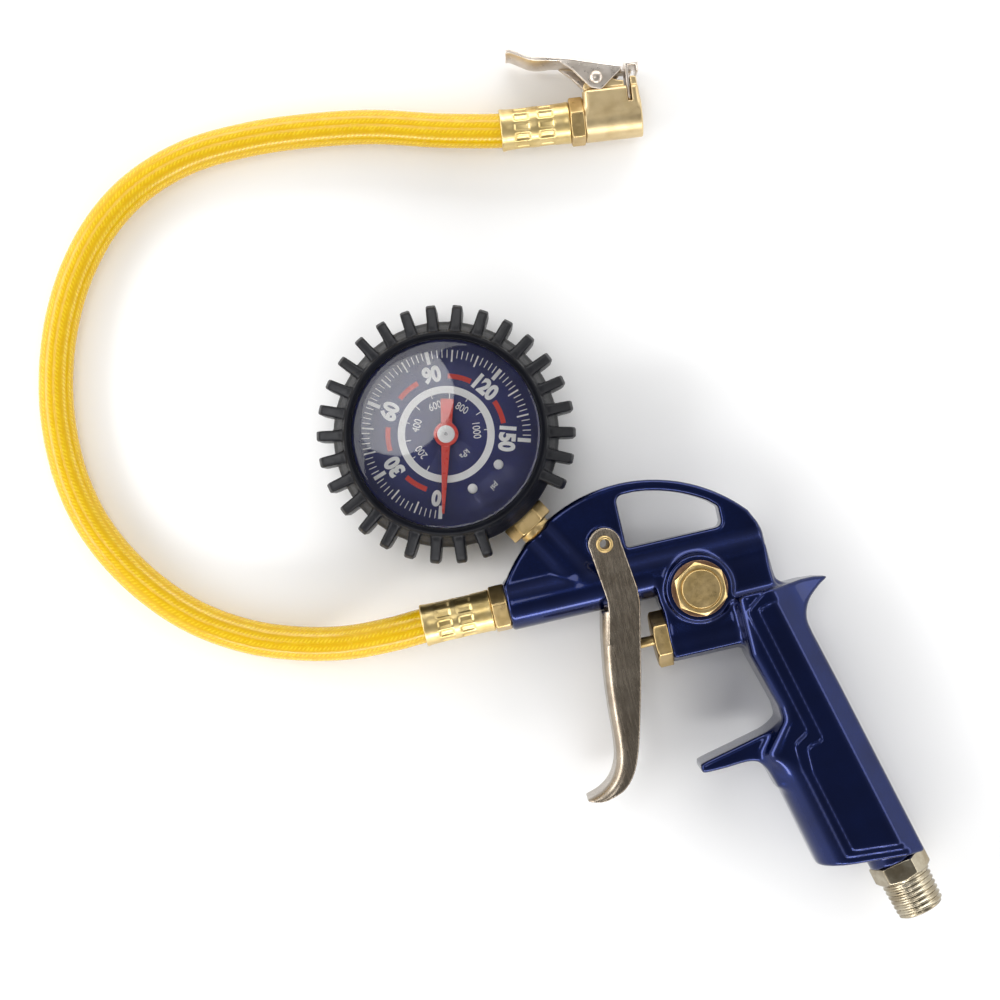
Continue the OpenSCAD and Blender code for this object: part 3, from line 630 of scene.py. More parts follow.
# The raised side panel and the wider step under it, in the grip's own frame: across it, down it
PANEL = rounded([(-3.4, -76.2, 1), (-3.7, -38.5, 1.2), (-8.6, -38.7, 2), (-10.1, -32, 6), (-10.1, -9.3, 1),
    (2.4, -5, 0), (20, -2, 0), (20, -76.2, 0)])
STEP = rounded([(-6.3, -77, 1), (-6.4, -42, 2), (-11, -40.8, 2.5), (-12.4, -34, 6), (-12.6, -8.4, 1),
    (2.4, -3.4, 0), (20, 0, 0), (20, -72, 0), (2, -80.5, 1)])
HOOK = np.concatenate([
    [(38, -56.9), (34.4, -56.9)],
    spline([(32.2, -57.3), (22, -59.7), (13.3, -61.7), (12.2, -62.5), (12.1, -63.6), (13.0, -64.4),
        (18, -64.4), (24.5, -64.1), (27.6, -65.1), (29.6, -67.6), (31, -72)]),
    [(40, -74)],
])
DOME = np.concatenate([
    arc(DOME_MID, 42, 147.6, 41.0, 110),
    rounded([(40.2, -1.0, 0), (41.3, -3.6, 1.2), (41.8, -13, 8), (42.4, -18.5, 3), (44.6, -22.5, 2),
        (47, -34, 0)])[1:-1],
    [(47, -34), (31, -34), (31, -12), (BARREL_FRONT, -12)],
])
WINDOW = np.concatenate([
    rounded([(8, -2.4, 0), (6.2, -2.4, 1.6), (6.2, 11.5, 2.8), (10.6, 11.6, 0)])[1:-1],
    arc(DOME_MID, 39.1, 85.2, 55.6, 40),
    rounded([(30.6, 4.2, 0), (32.0, 2.9, 1.4), (31.9, -2.4, 2.6), (28, -2.4, 0)])[1:-1],
])
BLOCK = rounded([(10.8, -11, 0), (11.1, -18, 0), (11.6, -21, 0.6), (11.6, -33.6, 1.2), (34, -33.6, 0),
    (42, -24, 0), (41.4, -10, 0)])


def grip_field(x, y, thick, across, down):
    """Grip: raised side panel on a step, a front that grows rounder below the hook, a bevelled back."""
    nose_r = 3.0 + 6.0 / (1 + np.exp(-(down + 37) / 2.2))
    panel = both(outline(across, down, PANEL), thick - GRIP_HALF, 0.3)
    step = both(outline(across, down, STEP), thick - GRIP_HALF + STEP_DROP, 0.3)
    side = np.minimum(np.minimum(panel, step), thick - GRIP_HALF + 2 * STEP_DROP)
    grip = both(outline(x, y, GRIP_FRONT), side, nose_r)
    band = (thick - GRIP_HALF + BEVEL * (across - 1.6)) / hypot(1, BEVEL)
    horn = (thick - GRIP_HALF + BEVEL * 5.5 + HORN_BEVEL * (across - 7.1)) / hypot(1, HORN_BEVEL)
    grip = both(grip, join(band, horn, 1.0), 0.5)
    grip = both(grip, outline(x, y, GRIP_BACK), 0.8)
    foot = -(y + 95.2 + 0.06 * (x - 36.4))
    return both(grip, foot, 0.9)


def gun_field(x, y, z):
    thick = np.abs(z)
    across, down = leaning(x, y, INLET_LEAN, INLET_AT)
    stem_across, stem_down = leaning(x, y, STEM_LEAN, DIAL_AT)
    from_barrel, from_lower = np.hypot(y - BARREL_Y, z), np.hypot(y - LOWER_Y, z)
    from_stem, from_inlet = np.hypot(stem_across, z), np.hypot(across, z)
    from_plug = np.hypot(x - PLUG_AT[0], y - PLUG_AT[1])
    from_pivot = np.hypot(x - PIVOT_X, y)

    body = both(from_barrel - 6.6, slab(x, BARREL_FRONT, 41.6), 0.9)
    web = both(cut(outline(x, y, DOME), outline(x, y, WINDOW), 0), thick - WEB_HALF, 1.0)
    # Each lump of the casting, with the fillet that joins it to the ones before
    lumps = (
        (web, 1.2),
        (both(outline(x, y, BLOCK), thick - 6.5, 1.2), 1.0),
        (both(from_lower - 6.8, slab(x, 11.6, 40), 0.8), 0.8),
        (both(from_pivot - 4.3, thick - 6.9, 0.3), 0.3),
        (both(from_plug - 8.8, slab(z, -6, 8.2), 0.7), 1.4),
        (grip_field(x, y, thick, across, down), 2.2),
        (both(outline(x, y, HOOK), thick - 7, 1.1), 2.4),
        (both(from_stem - 5.9, slab(stem_down, STEM_FACE, 56), 0.5), 0.9),
        (both(from_inlet - 7.3, slab(down, -12, 0), 0.5), 0.8),
    )
    for lump, fillet in lumps:
        body = join(body, lump, fillet)
    # Bores: distance from the axis, radius, distance along the axis, both ends, rounding of the mouth
    bores = (
        (from_barrel, 4.9, x, -40, -18, 0.2),
        (from_barrel, 2.5, x, -19, PLUG_AT[0], 0.1),
        (from_lower, 5, x, 0, 16.6, 0.2),
        (from_lower, 4.2, x, 16.5, 42.5, 0.1),
        (from_plug, 5, z, -3, 20, 0.2),
        (from_stem, 4.9, stem_down, 30, STEM_FACE + 9, 0.2),
        (from_inlet, 5.55, down, -10, 4, 0.2),
        (from_inlet, 2.5, down, -72, -9, 0.1),
    )
    for from_axis, bore_r, along, start, end, mouth in bores:
        body = cut(body, both(from_axis - bore_r, slab(along, start, end), 0.1), mouth)
    return cut(body, from_pivot - 1.8, 0.1)


add_solid("gun_casting", gun_field, (-28, -101, -12), (65, 15, 12), 0.5, GUN, "gun", "gun_paint", paint,
    "gun_body")


# ---- trigger and its rivet ----

TRIGGER_HALF = 8.4
TRIGGER_T = 1.2
RIVET_R = 1.75
TRIGGER_FRONT = np.concatenate([
    [(-4.0, 20)],
    spline([(-4.15, -17.4), (-5.5, -23.8), (-7.1, -34), (-7.9, -42.5), (-8.4, -51), (-9.3, -56.4),
        (-11.4, -60.4), (-14.6, -63.0), (-18.9, -64.5)]),
    [(-19.3, -65.2), (-19.3, -90), (60, -90), (60, 20)],
])
TRIGGER_REAR = np.concatenate([
    [(-18.9, -64.4)],
    spline([(-18.6, -64.9), (-15.9, -65.55), (-13.2, -65.45), (-8.7, -63.8), (-5.2, -59.9), (-2.6, -53.6),
        (0, -44.2), (2.1, -35.7), (4.3, -25.5), (6.2, -16.8), (6.35, -13)]),
    [(4.8, 0.4), (4.8, 20), (-60, 20), (-60, -64.4)],
])
TRIGGER_CHEEK = np.concatenate([
    rounded([(4.77, 0.3, 0), (6.35, -13, 4), (6.2, -16.8, 4), (4.3, -25.5, 2), (3, -31, 0), (-5.6, -31, 0),
        (-2.4, -17.6, 1), (-2.1, -14.5, 1), (-3.77, 0.3, 0)]),
    arc((PIVOT_X, 0), 4.3, 176, 4, 30),
])


def trigger_field(x, y, z):
    thick = np.abs(z)
    shell = both(outline(x, y, TRIGGER_FRONT), thick - TRIGGER_HALF, 3.0)
    sheet = both(np.maximum(shell, -(shell + TRIGGER_T)), outline(x, y, TRIGGER_REAR), 0.25)
    sheet = both(sheet, y + 17.2, 0.3)
    cheek = both(outline(x, y, TRIGGER_CHEEK), slab(thick, TRIGGER_HALF - TRIGGER_T, TRIGGER_HALF), 0.25)
    cheek = both(cheek, -(y + 26), 0.0)
    return cut(np.minimum(sheet, cheek), round_bar(x - PIVOT_X, y, 1.8), 0.1)


add_solid("trigger_pressing", trigger_field, (-19.5, -66.5, -8.4), (6.5, 4.4, 8.4), 0.32, GUN, "trigger",
    "trigger_steel", steel_sheet, "trigger_lever")


def rivet_field(x, y, z):
    """Tube whose ends are rolled over the trigger's cheeks."""
    r, thick = np.hypot(x - PIVOT_X, y), np.abs(z)
    shank = both(r - RIVET_R, thick - TRIGGER_HALF - 0.3, 0.1)
    rolled = np.hypot(r - RIVET_R, thick - TRIGGER_HALF - 0.12) - 0.5
    return cut(join(shank, rolled, 0.1), r - RIVET_R + 0.5, 0.15)


add_solid("pivot_tube_rivet", rivet_field, (-1.9, -2.4, -9.1), (2.9, 2.4, 9.1), 0.14, GUN, "gun", "brass",
    brass, "pivot_rivet")


# ---- valve ----


def plug_field(x, y, z):
    """Hexagon with a turned crown and a round pad, on a threaded shank."""
    dx, dy = x - PLUG_AT[0], y - PLUG_AT[1]
    r, top = np.hypot(dx, dy), 12.8
    crown = cone(r, top - 0.75 - z, 7.33, 1.6)
    head = both(both(hexagon(dx, dy, 12.7, 30, 0.2), slab(z, 9.0, top), 0.15), crown, 0.12)
    pad_r = 5.05
    pad = both(r - pad_r, slab(z, 11, top + 0.32), 0.12)
    shank = both(r - 4.9, slab(z, 2, 9.5), 0.1)
    ring = np.hypot(r - pad_r, z - top) - 0.22
    return cut(join(join(head, pad, 0.05), shank, 0.1), ring, 0.05)


add_solid("plug_hexagon", plug_field, (14.7, -24.2, 2), (29.5, -9.4, 13.2), 0.2, GUN, "gun", "brass", brass,
    "hex_plug")


def gland_field(x, y, z):
    u, v = y - LOWER_Y, z
    r = np.hypot(u, v)
    crown = cone(r, x - 8.3, 7.7, CHAMFER)
    head = both(both(hexagon(u, v, 13.2, 0, 0.25), slab(x, 7.7, 11.7), 0.2), crown, 0.15)
    shank = both(r - 4.93, slab(x, 11, 16.4), 0.2)
    return cut(join(head, shank, 0.1), r - 1.5, 0.2)


add_solid("gland_hexagon", gland_field, (7.6, -35.8, -7.8), (16.5, -20.2, 7.8), 0.22, GUN, "gun", "brass",
    brass, "gland_nut")


# ---- hose nuts and ferrules ----

NUT_AF = 11.4
NUT_FACE_R = 6.05
FERRULE_R = 5.45
DENTS_ROUND = 12


def hose_nut(hex_t, thread_l, thread_r, barb_l):
    """Field of a nut along +X with the hexagon's outer face at 0: barbs, hexagon, thread with turns."""

    def field(x, y, z):
        r = np.hypot(y, z)
        crowns = np.maximum(cone(r, -x, NUT_FACE_R, CHAMFER), cone(r, x + hex_t, NUT_FACE_R, CHAMFER))
        head = both(both(hexagon(y, z, NUT_AF, 18, 0.25), slab(x, -hex_t, 0), 0.2), crowns, 0.2)
        pitch = np.abs(((x + np.arctan2(z, y) / (2 * pi)) % 1.0) - 0.5)
        thread = both((r - thread_r + 0.55 - pitch * 1.1) * 0.7, slab(x, -0.5, thread_l), 0.2)
        collar = both(r - 3.1, slab(x, -hex_t - 1.2, 0), 0.1)
        saw = ((x + hex_t + barb_l) % 3.4) / 3.4
        barbs = both((r - 2.05 - 0.4 * saw) * 0.9, slab(x, -hex_t - barb_l, -hex_t), 0.1)
        return cut(join(join(join(head, thread, 0.1), collar, 0.1), barbs, 0.1), r - 1.5, 0.1)

    return field


def ferrule(rows, length=18.7):
    """Field of a crimped sleeve along +X with its mouth at 0; rows are the middles of the dents."""

    def field(x, y, z):
        r, angle = np.hypot(y, z), np.arctan2(z, y)
        sector = 2 * pi / DENTS_ROUND
        lean = (angle - radians(95) + sector / 2) % sector - sector / 2
        flare = 0.18 * np.exp(-((x - 0.2) / 0.9) ** 2) + 0.12 * np.exp(-((x - length + 0.3) / 0.8) ** 2)
        press = 0
        for at, half in rows:
            along = np.clip((half - np.abs(x - at)) / 0.9 + 0.5, 0, 1)
            around = np.clip((0.92 - np.abs(lean) * FERRULE_R) / 0.8 + 0.5, 0, 1)
            press = press + 0.36 * (along * along * (3 - 2 * along)) * (around * around * (3 - 2 * around))
            press = press + 0.12 * np.exp(-((x - at) / (half * 1.3)) ** 2)
        skin = r - FERRULE_R - flare + press
        sleeve = both(skin * 0.88, slab(x, 0, length), 0.25)
        sleeve = cut(sleeve, both(r - HOSE_R - 0.05 + press, slab(x, -5, length - 1.2), 0.1), 0.2)
        return cut(sleeve, r - 3.15, 0.1)

    return field


HOSE_END_GUN = GUN @ Matrix.Translation((BARREL_FRONT, BARREL_Y, 0))
add_solid("hose_nut_at_gun", hose_nut(4.2, 8.6, 4.85, 16), (-20.5, -6.7, -6.7), (8.8, 6.7, 6.7), 0.22,
    HOSE_END_GUN, "gun", "brass", brass, "hose_nut_gun")
CRIMPS = ((5.9, 1.8), (11.6, 1.8))
FERRULE_AT_GUN = GUN @ Matrix.Translation(FERRULE_MOUTH)
add_solid("ferrule_at_gun", ferrule(CRIMPS), (-0.1, -5.8, -5.8), (18.8, 5.8, 5.8), 0.2, FERRULE_AT_GUN,
    "gun", "ferrule_brass", brass_bright, "ferrule_gun")
FERRULE_AT_CHUCK = CHUCK @ Matrix.Translation((-29.3, 0, 0))
far_ferrule = add_solid("ferrule_at_chuck", ferrule(((5.7, 1.9), (12.2, 1.9)), 18.6), (-0.1, -5.8, -5.8),
    (18.7, 5.8, 5.8), 0.2, FERRULE_AT_CHUCK, "gun", "ferrule_brass", brass_bright, "ferrule_chuck")
HOSE_END_CHUCK = CHUCK @ Matrix.Translation((-6.8, 0, 0))
far_nut = add_solid("hose_nut_at_chuck", hose_nut(3.8, 6, 4.4, 16), (-20, -6.7, -6.7), (6.2, 6.7, 6.7), 0.22,
    HOSE_END_CHUCK, "gun", "brass", brass, "hose_nut_chuck")


# ---- air inlet ----

THREAD_PITCH = 1.41


def inlet_field(x, y, z):
    """Hexagon and a tapered pipe thread along +Z, hollow right through."""
    r = np.hypot(x, y)
    crown = np.maximum(cone(r, 4.6 - z, 7.6, 1.6), cone(r, z, 7.5, 1.6))
    head = both(both(hexagon(x, y, 13.8, 10, 0.3), slab(z, 0.05, 5.1), 0.2), crown, 0.3)
    core = both(r - 5.45, slab(z, -8.5, 1), 0.2)
    pitch = np.abs(((z / THREAD_PITCH + np.arctan2(y, x) / (2 * pi)) % 1.0) - 0.5)
    crest = 6.78 - 0.045 * (z - 5)
    thread = (r - crest + 0.62 * np.maximum(0, 1.0 - pitch * 2.3)) * 0.72
    lead = cone(r, 14.6 - z, crest, 1.3)
    thread = both(both(thread, slab(z, 4.6, 15.25), 0.15), lead, 0.1)
    relief = both(r - 6.2, slab(z, 4, 6.2), 0.3)
    return cut(join(join(join(head, core, 0.1), thread, 0.05), relief, 0.2), r - 3.6, 0.5)


add_solid("inlet_nipple", inlet_field, (-8, -8, -8.5), (8, 8, 15.3), 0.2, INLET, "gun", "nickel",
    nickel_worn, "inlet_fitting")


# ---- gauge ----

STEM_Z = 12.0
TOOTH_STEP = radians(12)
BOOT_R, CASE_R = 29.6, 26.1
FIRST_TOOTH, LAST_TOOTH = 2, 15


def boot_field(x, y, z):
    """Ring with teeth counted from the stem on both sides, a gate for the stem and two screw reliefs."""
    r = np.hypot(x, y)
    wall = rounded([(-5, 0, 0), (BOOT_R - 1.2, 0, 1.2), (BOOT_R - 0.6, 3, 2), (BOOT_R, 9, 3),
        (BOOT_R - 0.2, 21.6, 1.2), (BOOT_R - 1.2, 23.4, 1.2), (LIP_R + 1.9, 28.9, 0.9),
        (LIP_R + 0.3, 29.5, 0.7), (LIP_R, 27.8, 0.2), (CASE_R, 27.8, 0), (CASE_R, 1.5, 0), (-5, 1.5, 0)])
    ring = outline(r, z, wall)
    angle = np.arctan2(x, -y)
    nearest = np.clip(np.round(np.abs(angle) / TOOTH_STEP), FIRST_TOOTH, LAST_TOOTH) * TOOTH_STEP
    off = np.abs(angle) - nearest
    out, side = r * np.cos(off), np.abs(r * np.sin(off))
    ends = rounded([(26.3, 4.2, 0), (33.0, 4.2, 1.2), (33.75, 7, 1.2), (33.75, 22.4, 1.5), (32.9, 24.7, 1.2),
        (27.6, 27.5, 1.2), (25.9, 28.0, 0.8), (26.3, 20, 0)])
    tooth = both(outline(out, z, ends), side - 1.38 + 0.01 * (out - 28), 0.5)
    boot = join(ring, tooth, 0.35)
    boot = cut(boot, np.maximum(round_bar(x, z - STEM_Z, 6.8), y + 25), 0.6)
    for at in (-3.6, 3.6):
        boot = cut(boot, np.maximum(round_bar(x - at, y + 16.5, 3.0), z - 3.4), 0.3)
    return boot


add_solid("toothed_boot", boot_field, (-34, -34, 0), (34, 34, 29.5), 0.5, GAUGE, "gun", "boot_rubber",
    rubber, "gauge_boot")


def socket_field(x, y, z):
    """Block that carries the dial and the tube, with a hexagon and a threaded stem towards -Y."""
    r, down = np.hypot(x, z - STEM_Z), -y
    crown = np.maximum(cone(r, 33.3 - down, 6.05, CHAMFER), cone(r, down - 29, 6.0, CHAMFER))
    head = both(both(hexagon(x, z - STEM_Z, 11, 0, 0.25), slab(down, 29, 33.3), 0.2), crown, 0.2)
    neck = both(r - 4.2, slab(down, 33, STEM_FACE), 0.15)
    shank = both(r - 4.85, slab(down, 35.2, 44), 0.2)
    root = both(r - 4.5, slab(down, 20, 29.2), 0.15)
    block = both(both(slab(x, -6.5, 6.5), slab(y, -21, -12), 0.3), slab(z, 4, 21), 0.3)
    body = join(join(join(join(head, neck, 0.3), shank, 0.1), root, 0.2), block, 0.4)
    return cut(body, np.maximum(r - 1.5, 16 - down), 0.1)


add_solid("gauge_stem", socket_field, (-6.6, -44, 4), (6.6, -12, 21), 0.25, GAUGE, "gun", "brass", brass,
    "gauge_socket")

# Domed window: flat flange under the boot's lip, shallow crown
LENS_UNDERSIDE = [(0, 27.7), (6, 27.62), (12, 27.42), (17, 27.12), (22, 26.7), (24.4, 26.5)]
LENS_FLANGE = [(26, 26.5), (26, 27.7)]
LENS_TOP = [(24.7, 27.7), (24.2, 27.8), (23.3, 28.1), (21, 28.42), (16, 28.82), (11, 29.08), (5, 29.24),
    (0, 29.28)]
lens_profile = np.concatenate([spline(LENS_UNDERSIDE, 4), LENS_FLANGE, spline(LENS_TOP, 4)])
add_mesh("domed_lens", *lathe(lens_profile, 128), GAUGE, "gun", "clear_lens", lens_clear, ["gauge_lens"])

DIAL_TOP, PRINT_T = 21.6, 0.06
SCALE_START, SCALE_SWEEP, SCALE_PSI, SCALE_KPA = 225.0, 270.0, 150, 1034
PRINT_TURN = 2.2  # the pointer rests just below the printed zero


def scale_angle(psi):
    return radians(SCALE_START - PRINT_TURN - SCALE_SWEEP * psi / SCALE_PSI)


def kpa_angle(kpa):
    return radians(SCALE_START - SCALE_SWEEP * kpa / SCALE_KPA)


class Print:
    """Thin printed shapes on the dial, gathered into one mesh."""

    def __init__(self):
        self.verts, self.faces = [], []

    def strip(self, low, high):
        """A band between two rows of points."""
        base = len(self.verts)
        n = len(low)
        for z in (0, PRINT_T):
            self.verts += [(x, y, DIAL_TOP + z) for x, y in (*low, *high)]
        top = base + 2 * n
        for k in range(n - 1):
            a, b, c, d = k, k + 1, n + k + 1, n + k
            self.faces += [[top + i for i in (a, b, c, d)], [base + i for i in (d, c, b, a)]]
            self.faces += [[base + a, base + b, top + b, top + a], [base + c, base + d, top + d, top + c]]
        for a, b in ((0, n), (2 * n - 1, n - 1)):
            self.faces.append([base + a, top + a, top + b, base + b])

    def tick(self, angle, r0, r1, width):
        along = np.array([cos(angle), sin(angle)])
        side = np.array([-along[1], along[0]]) * width / 2
        self.strip([along * r1 + side, along * r0 + side], [along * r1 - side, along * r0 - side])

    def arc(self, start, end, r0, r1, steps=24):
        angles = np.linspace(start, end, steps + 1)
        rows = [np.stack([r * np.cos(angles), r * np.sin(angles)], axis=1) for r in (r0, r1)]
        self.strip(*(rows if end < start else rows[::-1]))

    def piece(self, name, slot, material):
        add_mesh(name, self.verts, self.faces, GAUGE, "gun", slot, material).data.shade_flat()


white, red = Print(), Print()
white.arc(radians(-180), radians(180), 10.7, 12.6, 120)
for psi in range(0, SCALE_PSI + 1, 2):
    angle = scale_angle(psi)
    if psi % 10 == 0:
        white.tick(angle, 18.9 if psi % 30 else 18.6, 21.9, 0.42 if psi % 30 else 1.0)
    else:
        white.tick(angle, 19.9, 21.9, 0.24)
for kpa in range(0, 1001, 100):
    white.tick(kpa_angle(kpa), 9.3 if kpa % 200 else 9.9, 10.95, 0.22)
white.piece("dial_ticks", "dial_print", print_white)
for psi in range(0, SCALE_PSI, 30):
    red.arc(scale_angle(psi + 8.5), scale_angle(psi + 21.5), 14.5, 15.8)
red.piece("dial_red_arcs", "pointer_red", print_red)


def numeral(text, angle, r, height, squeeze, weight):
    """Flat outline of a number whose foot points to the dial's middle."""
    curve = bpy.data.curves.new("numeral", "FONT")
    curve.body, curve.size, curve.align_x, curve.align_y = text, 1.0, "CENTER", "CENTER"
    curve.offset, curve.extrude, curve.resolution_u = weight, 0.0, 6
    text_object = put("numeral", curve)
    mesh = bpy.data.meshes.new_from_object(text_object)
    flat = np.array([v.co for v in mesh.vertices])[:, :2]
    faces = [list(p.vertices) for p in mesh.polygons]
    bpy.data.objects.remove(text_object)
    tall = np.ptp(flat[:, 1])
    flat = (flat - (flat.max(0) + flat.min(0)) / 2) * (height / tall * squeeze, height / tall)
    turn = angle - pi / 2
    c, s = cos(turn), sin(turn)
    flat = flat @ np.array([[c, s], [-s, c]]) + r * np.array([cos(angle), sin(angle)])
    return np.column_stack([flat, np.full(len(flat), DIAL_TOP + PRINT_T)]), faces


def numerals(name, marks, slot, material):
    verts, faces = [], []
    for text, angle, r, height, squeeze, weight in marks:
        more, their_faces = numeral(text, angle, r, height, squeeze, weight)
        faces += [[v + len(verts) for v in f] for f in their_faces]
        verts += more.tolist()
    add_mesh(name, verts, faces, GAUGE, "gun", slot, material).data.shade_flat()


PSI_MARKS = [(str(p), scale_angle(p), 15.9, 4.5, 0.86, 0.055) for p in range(30, SCALE_PSI + 1, 30)]
PSI_MARKS.append(("0", scale_angle(0) - radians(4.5), 16.8, 4.3, 0.86, 0.055))
KPA_MARKS = [(str(k), kpa_angle(k), 8.0, 2.0, 0.8, 0.0) for k in range(0, 1001, 200)]
UNIT_MARKS = [("psi", -pi / 2, 18.2, 1.9, 0.9, 0.012), ("kPa", -pi / 2, 7.0, 1.5, 0.9, 0.0)]
numerals("dial_numerals", PSI_MARKS + KPA_MARKS + UNIT_MARKS, "dial_print", print_white)

SCREW_PROFILE = [(0, -4), (0.85, -4), (0.85, -0.1), (1.25, 0), (1.28, 0.2), (1.1, 0.42), (0.6, 0.54),
    (0, 0.58)]
screw = lathe(SCREW_PROFILE, 32)
for side, at in (("left", -4.6), ("right", 4.6)):
    place = GAUGE @ Matrix.Translation((at, -15, DIAL_TOP))
    add_mesh(f"dial_screw_{side}", *screw, place, "gun", "dial_white", print_white, ["dial_screws"])


NEEDLE_HALF = [(-9.2, 1.75, 0.3), (-2.6, 1.4, 1), (0, 1.3, 1), (20.6, 0.32, 0.2)]


def pointer_field(x, y, z):
    """Needle along +X at the foot of the scale's zero, with a wide tail and a raised hub."""
    r = np.hypot(x, y)
    needle = rounded([*NEEDLE_HALF, *((u, -v, corner) for u, v, corner in NEEDLE_HALF[::-1])])
    blade = both(outline(x, y, needle), slab(z, 0, 0.6), 0.12)
    hub = both(r - 3.2, slab(z, 0, 0.95), 0.2)
    return cut(join(blade, hub, 0.2), both(r - 0.8, z - 0.8, 0), 0.05)


POINTER = GAUGE @ Matrix.Translation((0, 0, 22.7)) @ Matrix.Rotation(radians(SCALE_START), 4, "Z")
add_solid("pointer_needle", pointer_field, (-9.3, -3.2, 0), (20.7, 3.2, 1), 0.12, POINTER, "gauge_hand",
    "pointer_red", pointer_red, "pointer")
cap = lathe([(0.45, 0.98), (0.45, 1.2), (0.55, 1.28), (2.1, 1.22), (2.28, 1.12), (2.3, 0.9), (0.45, 0.9),
    (0.45, 0.98)], 48)
add_mesh("pointer_cap", *cap, POINTER, "gauge_hand", "dial_white", print_white)
pin = lathe([(0, 0.82), (0.44, 0.82), (0.44, 1.2), (0.3, 1.3), (0, 1.32)], 24)
add_mesh("pointer_pin", *pin, POINTER, "gauge_hand", "steel", bright_steel)


# ---- chuck ----

CHUCK_R = 5.9
SLOT = (5.1, 6.3)
SADDLE = rounded([(-6.75, 0, 0), (8.5, 0, 0), (8.2, 7.4, 0.8), (-6.4, 7.4, 1.2)])
EARS = rounded([(-6.6, 0, 0), (-6.2, 9, 1), (-4.4, 9.6, 1), (-2.6, 13.1, 2.6), (-0.2, 11.2, 2),
    (2.6, 9.2, 1), (4.6, 8.8, 0), (4.6, 0, 0)])
NOSE = rounded([(6.3, 0, 0), (8.5, 0, 0), (8.0, 9.8, 0.9), (6.3, 9.8, 0)])
CHUCK_BORES = ((4.45, -9, -0.6, 0.1, 0.3), (4.6, 0.8, 3, 0.05, 0.1), (4.1, 2.9, 12, 0.05, 0.45),
    (0.9, -1, 1.2, 0.05, 0.1))


def chuck_field(x, y, z):
    thick = np.abs(z)
    drum = both(round_bar(y, z, CHUCK_R), slab(x, -6.75, 8.5), 0.35)
    saddle = both(both(outline(x, y, SADDLE), thick - CHUCK_R, 1.3), -y, 0)
    ears = both(outline(x, y, EARS), thick - 4.85, 0.35)
    nose = both(outline(x, y, NOSE), thick - 4.5, 0.3)
    body = join(join(drum, saddle, 0.4), ears, 0.4)
    body = join(body, nose, 0.3)
    # Bores for the hose nut, the seal, the tyre valve and the air between them
    for bore_r, start, end, edge, mouth in CHUCK_BORES:
        body = cut(body, both(round_bar(y, z, bore_r), slab(x, start, end), edge), mouth)
    body = cut(body, np.maximum(slab(x, *SLOT), 3 - y), 0.12)
    body = cut(body, np.maximum(np.maximum(slab(x, -9, 1.6), slab(z, -2, 2)), 7.6 - y), 0.2)
    return cut(body, round_bar(x - CHUCK_PIVOT.x, y - CHUCK_PIVOT.y, 1.2), 0.1)


chuck_head = add_solid("chuck_head", chuck_field, (-6.8, -5.9, -5.9), (8.5, 13.2, 5.9), 0.22, CHUCK, "gun",
    "chuck_brass", brass_satin, "chuck_body")

LEVER_HALF = 5.9
SHEET_T = 0.9
LEVER_TOP = spline([(-25.6, 18.9), (-24.4, 18.75), (-22.3, 17.6), (-19.4, 16.1), (-16.6, 15.7),
    (-13.6, 16.0), (-11, 16.2), (-8.4, 15.8), (-5, 14.9), (0, 13.6), (4.4, 12.5)])
LEVER_SHEET = np.concatenate([LEVER_TOP, (LEVER_TOP - np.array((0.22, SHEET_T)))[::-1]])
LEVER_CHEEK = rounded([(-12.4, 15.8, 0.5), (-8.6, 12.6, 1.5), (-4.5, 7.7, 1.4), (-1.6, 6.8, 1.4),
    (0.8, 8.9, 1.6), (3.7, 11.2, 0.8), (4.4, 12.2, 0.2), (0, 13.3, 0), (-5, 14.6, 0), (-9, 15.6, 0)])
TONGUE = rounded([(2.6, 13.1, 0), (2.2, 11.9, 0.6), (4.6, 11.15, 0.6), (7.2, 11.15, 0.2), (7.2, 11.9, 0.3),
    (4.8, 12.0, 0.6)])


def lever_field(x, y, z):
    """Bent sheet that narrows and curls at the thumb's end, with two cheeks and a tongue in the clip."""
    thick = np.abs(z)
    half = LEVER_HALF - 0.04 * np.maximum(-x - 16, 0) ** 1.3
    curl = 0.055 * thick**2 / (1 + np.exp((x + 14.5) / 1.5))
    sheet = both(outline(x, y - curl, LEVER_SHEET), thick - half, 0.3)
    cheek = both(outline(x, y, LEVER_CHEEK), slab(thick, LEVER_HALF - SHEET_T, LEVER_HALF), 0.25)
    tongue = both(outline(x, y, TONGUE), thick - 2.5, 0.2)
    lever = join(join(sheet, cheek, 0.35), tongue, 0.2)
    return cut(lever, round_bar(x - CHUCK_PIVOT.x, y - CHUCK_PIVOT.y, 1.25), 0.1)


thumb_lever = add_solid("thumb_lever_plate", lever_field, (-26, 6.9, -5.9), (7.3, 22.6, 5.9), 0.22, CHUCK,
    "thumb_lever", "nickel", nickel, "chuck_lever")


def clip_field(x, y, z):
    plate = rounded([(-4.4, 3.7, 0.3), (4.4, 3.7, 0.3), (4.4, 13.6, 0.8), (-4.4, 13.6, 0.8)])
    clip = both(outline(z, y, plate), slab(x, 0, 0.8), 0.12)
    tab = both(both(slab(x, 0, 3.6), slab(y, 12.7, 13.6), 0.25), np.abs(z) - 4.4, 0.6)
    lip = both(both(slab(x, 2.9, 3.6), slab(y, 10.9, 13.6), 0.3), np.abs(z) - 4.4, 0.6)
    clip = join(join(clip, tab, 0.3), lip, 0.3)
    clip = cut(clip, np.hypot(y, z) - 4.15, 0.1)
    window = both(slab(y, 10.3, 12.4), np.abs(z) - 2.9, 0.4)
    return cut(clip, np.maximum(window, x - 2), 0.08)


CLIP = CHUCK @ Matrix.Translation((SLOT[0] + 0.2, 0, 0))
clip = add_solid("clip_stamping", clip_field, (0, 3.6, -4.4), (3.6, 13.6, 4.4), 0.16, CLIP, "clip", "nickel",
    nickel, "clip_plate")

